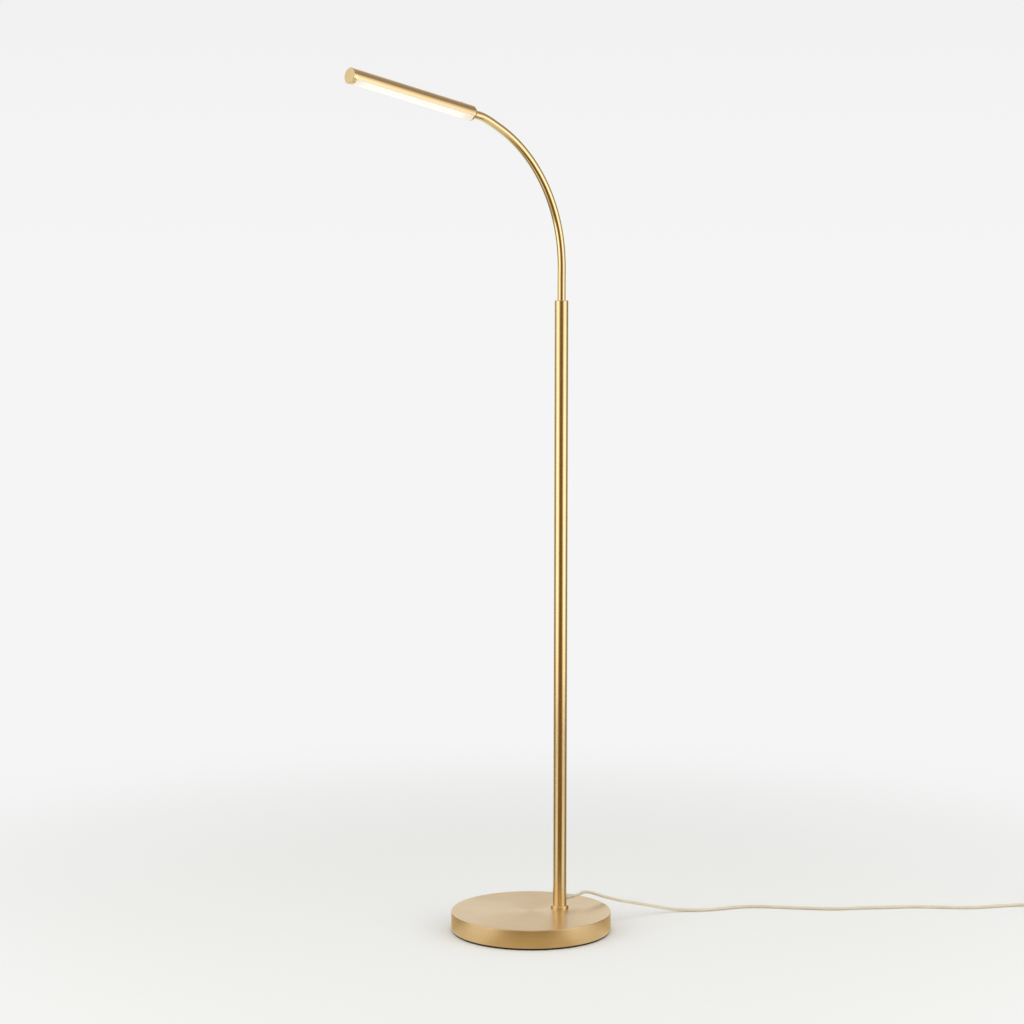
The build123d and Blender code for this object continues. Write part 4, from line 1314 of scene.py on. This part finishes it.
    def surround(self) -> None:
        """Light the world: pale backdrop beyond the lamp, dim room on the near side, plain soft fill."""
        world = bpy.data.worlds.new("studio_surround")
        bpy.context.scene.world = world
        tree = empty_tree(world)
        way = add_node(tree, "ShaderNodeTexCoord").outputs["Generated"]
        rise = add_node(tree, "ShaderNodeSeparateXYZ", {0: way}).outputs[2]
        height = add_node(tree, "ShaderNodeMapRange", {"Value": rise, "From Max": self.haze_top})
        backdrop = add_node(tree, "ShaderNodeMix", {
            "Factor": height, 6: linear(self.far_tint), 7: linear(self.sky_tint)}, data_type="RGBA")
        walls, beyond = self.room(tree, way)
        above = add_node(tree, "ShaderNodeMapRange", {
            "Value": rise, "From Min": self.ceiling_from[0], "From Max": self.ceiling_from[1]},
            interpolation_type="SMOOTHSTEP")
        room = add_node(tree, "ShaderNodeMix", {
            "Factor": above, 6: walls, 7: linear(self.ceiling_tint)}, data_type="RGBA")
        mirrored = add_node(tree, "ShaderNodeMix", {
            "Factor": beyond, 6: room, 7: backdrop}, data_type="RGBA")
        for turn_deg, rise_deg, *spread_deg in (self.side_glow, self.front_glow):
            turn, lift = math.radians(turn_deg + self.heading_deg), math.radians(rise_deg)
            level = math.cos(lift)
            aim = Vector((math.sin(turn) * level, math.cos(turn) * level, math.sin(lift)))
            mirrored = add_node(tree, "ShaderNodeMix", {
                "Factor": self.patch(tree, way, aim, spread_deg), 6: mirrored, 7: linear(self.glow_tint)},
                data_type="RGBA")
        seen, glossy = ray_kinds(tree)
        fill = (self.fill_level, self.fill_level, self.fill_level, 1.0)
        shiny = add_node(tree, "ShaderNodeMix", {"Factor": glossy, 6: fill, 7: mirrored}, data_type="RGBA")
        colour = add_node(tree, "ShaderNodeMix", {"Factor": seen, 6: shiny, 7: backdrop}, data_type="RGBA")
        glow = add_node(tree, "ShaderNodeBackground", {"Color": colour, "Strength": 1.0})
        add_node(tree, "ShaderNodeOutputWorld", {"Surface": glow})

    def soft_box(self, name: str, place: Vector, target: Vector, size: tuple[float, float],
                 radiance: float) -> Piece:
        """Hang one soft box that faces a point.

        Args:
            name: Name of the lamp.
            place: Its middle.
            target: The point that it faces.
            size: Width and height in metres.
            radiance: Brightness of its face, where 1 is white.

        Returns:
            The light.
        """
        data = bpy.data.lights.new(name, "AREA")
        data.shape = "RECTANGLE"
        data.size, data.size_y = size
        data.energy = radiance * math.pi * size[0] * size[1]
        light = place_object(name, data)
        light.matrix_world = (target - place).to_track_quat("-Z", "Y").to_matrix().to_4x4()
        light.matrix_world.translation = place
        light.visible_camera = False
        return light

    def soften(self, lamp: bpy.types.Light) -> None:
        """Let a soft box fade out towards both of its sides and its top, as a real diffuser cloth does.

        Args:
            lamp: The area light.
        """
        tree = empty_tree(lamp)
        face = add_node(tree, "ShaderNodeNewGeometry").outputs["Parametric"]
        across, upright, _ = add_node(tree, "ShaderNodeSeparateXYZ", {0: face}).outputs
        turn = add_node(tree, "ShaderNodeMath", {0: across, 1: 2 * math.pi}, operation="MULTIPLY")
        wave = add_node(tree, "ShaderNodeMath", {0: turn}, operation="COSINE")
        side = add_node(tree, "ShaderNodeMapRange", {"Value": wave, "From Min": 1.0, "From Max": -1.0})
        top = add_node(tree, "ShaderNodeMapRange", {
            "Value": upright, "From Min": 1.0, "From Max": 1.0 - self.box_top_fade},
            interpolation_type="SMOOTHSTEP")
        level = add_node(tree, "ShaderNodeMath", {0: side, 1: top}, operation="MULTIPLY")
        glow = add_node(tree, "ShaderNodeEmission", {"Strength": level})
        add_node(tree, "ShaderNodeOutputLight", {"Surface": glow})

    def build(self) -> None:
        """Build the floor, the surround and the lamps."""
        self.floor()
        self.surround()
        for name, side in (("soft_box_left", -1), ("soft_box_right", 1)):
            place = self.outward(side) * self.box_distance + Vector((0, 0, self.box_height))
            target = Vector((0, 0, self.box_height))
            self.soften(self.soft_box(name, place, target, self.box_size, self.box_radiance).data)
        above = Vector((0, 0, self.top_height))
        top = self.soft_box("overhead_fill", above, Vector((0, 0, 0)), (self.top_size, self.top_size),
                            self.top_radiance)
        top.visible_glossy = False


def finishes() -> dict[str, Material]:
    """Build every finish of the lamp.

    Returns:
        Materials by the record's slot, with the opal diffuser left out.
    """
    recipes = {
        # Brushed on a turntable, so each spot shines in a fan across its ring
        "brushed_brass": LacqueredMetal("circular_brushed_brass", "#E5CBA0", "#DABE8F", 0.3,
                                        Grain.ROUND_UPRIGHT, 0.5, 0.006, 0.6),
        # Drawn tube, polished and lacquered: two clear bands of the soft boxes stand in it
        "satin_brass": LacqueredMetal("satin_brass", "#E7D0A2", "#E1C898", 0.2,
                                      Grain.ROUND_UPRIGHT, 0.6, 0.001, 0.4, (*STEM, 0.0)),
        "anodised_gold": LacqueredMetal("gold_anodised_aluminium", "#E2C8A0", "#DABE93", 0.25,
                                        Grain.ALONG_SHEET, 0.5, 0.003),
        "cast_iron": LacqueredMetal("cast_iron", "#55524E", "#3D3B38", 0.62, Grain.CAST, 1.8, 0.15),
        "zinc_steel": LacqueredMetal("zinc_plated_steel", "#C4C6C8", "#AEB0B2", 0.3, Grain.CAST, 0.8, 0.01),
        "bare_aluminium": LacqueredMetal("extruded_aluminium", "#D4D5D8", "#C2C4C8", 0.36,
                                         Grain.ALONG_SHEET, 0.7, 0.01),
        "blade_brass": LacqueredMetal("stamped_brass", "#D8C07A", "#C7AC62", 0.26, Grain.CAST, 0.7, 0.006),
        "pad_rubber": MouldedPolymer("nitrile_rubber", "#1A1612", "#120F0C", 0.78, 0.9, 0.05),
        "led_white": MouldedPolymer("silicone_phosphor", "#FFE9A8", "#F6D98A", 0.4, 0.5, 0.01),
        "circuit_board": MouldedPolymer("white_solder_mask", "#F0F0EA", "#E4E4DC", 0.38, 0.7, 0.01),
        "black_plastic": MouldedPolymer("black_abs", "#1B1B1C", "#131314", 0.45, 0.5, 0.02),
        "lead_insulation": MouldedPolymer("pvc_insulation", "#EAE6D9", "#DDD8C8", 0.42, 0.8, 0.01),
        "clear_gold_vinyl": MouldedPolymer("translucent_vinyl", "#ECE3CC", "#E3D8BE", 0.3,
                                           1.2, 0.01, 0.18, 2.5),
        "tie_plastic": MouldedPolymer("nylon", "#EDE9DD", "#E2DCCB", 0.4, 0.7, 0.01, 0.0, 1.0),
    }
    return {slot: recipe.material() for slot, recipe in recipes.items()}


def main() -> None:
    """Build the whole scene in order and report each part of it."""
    logging.basicConfig(level=logging.INFO, format="%(name)s: %(message)s")
    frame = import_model()
    nodes = frame["nodes"]
    materials = finishes()

    neck = Neck()
    head = Head(neck.head_root, neck.head_axis)
    lit_middle = head.root + head.axis * (head.window_start + head.window_end) / 2
    half_lit = (head.window_end - head.window_start) / 2
    materials["opal_diffuser"] = OpalAcrylic().material(lit_middle, head.axis, head.upward, half_lit)
    for part in frame["record"]["subparts"]:
        for holder in nodes[part["node"]].material_slots:
            holder.material = materials[part["material_slot"]]
    LOG.info("packed nodes dressed: %d", len(nodes))

    Viewpoint().build()
    Studio().build()
    LOG.info("camera and studio built")
    MainsLead().build(materials["clear_gold_vinyl"], materials["blade_brass"], materials["tie_plastic"])
    LOG.info("mains lead built")
    Base().build(materials["brushed_brass"], materials["satin_brass"])
    LOG.info("base built")
    wound = LacqueredMetal("wound_satin_brass", "#E7D0A2", "#E1C898", 0.18, Grain.SLEEVE, 1.1, 0.001)
    neck.build(wound.material())
    LOG.info("neck built")
    head.build(materials["opal_diffuser"], materials["satin_brass"], materials["zinc_steel"])
    LOG.info("head built")


if __name__ == "__main__":
    main()
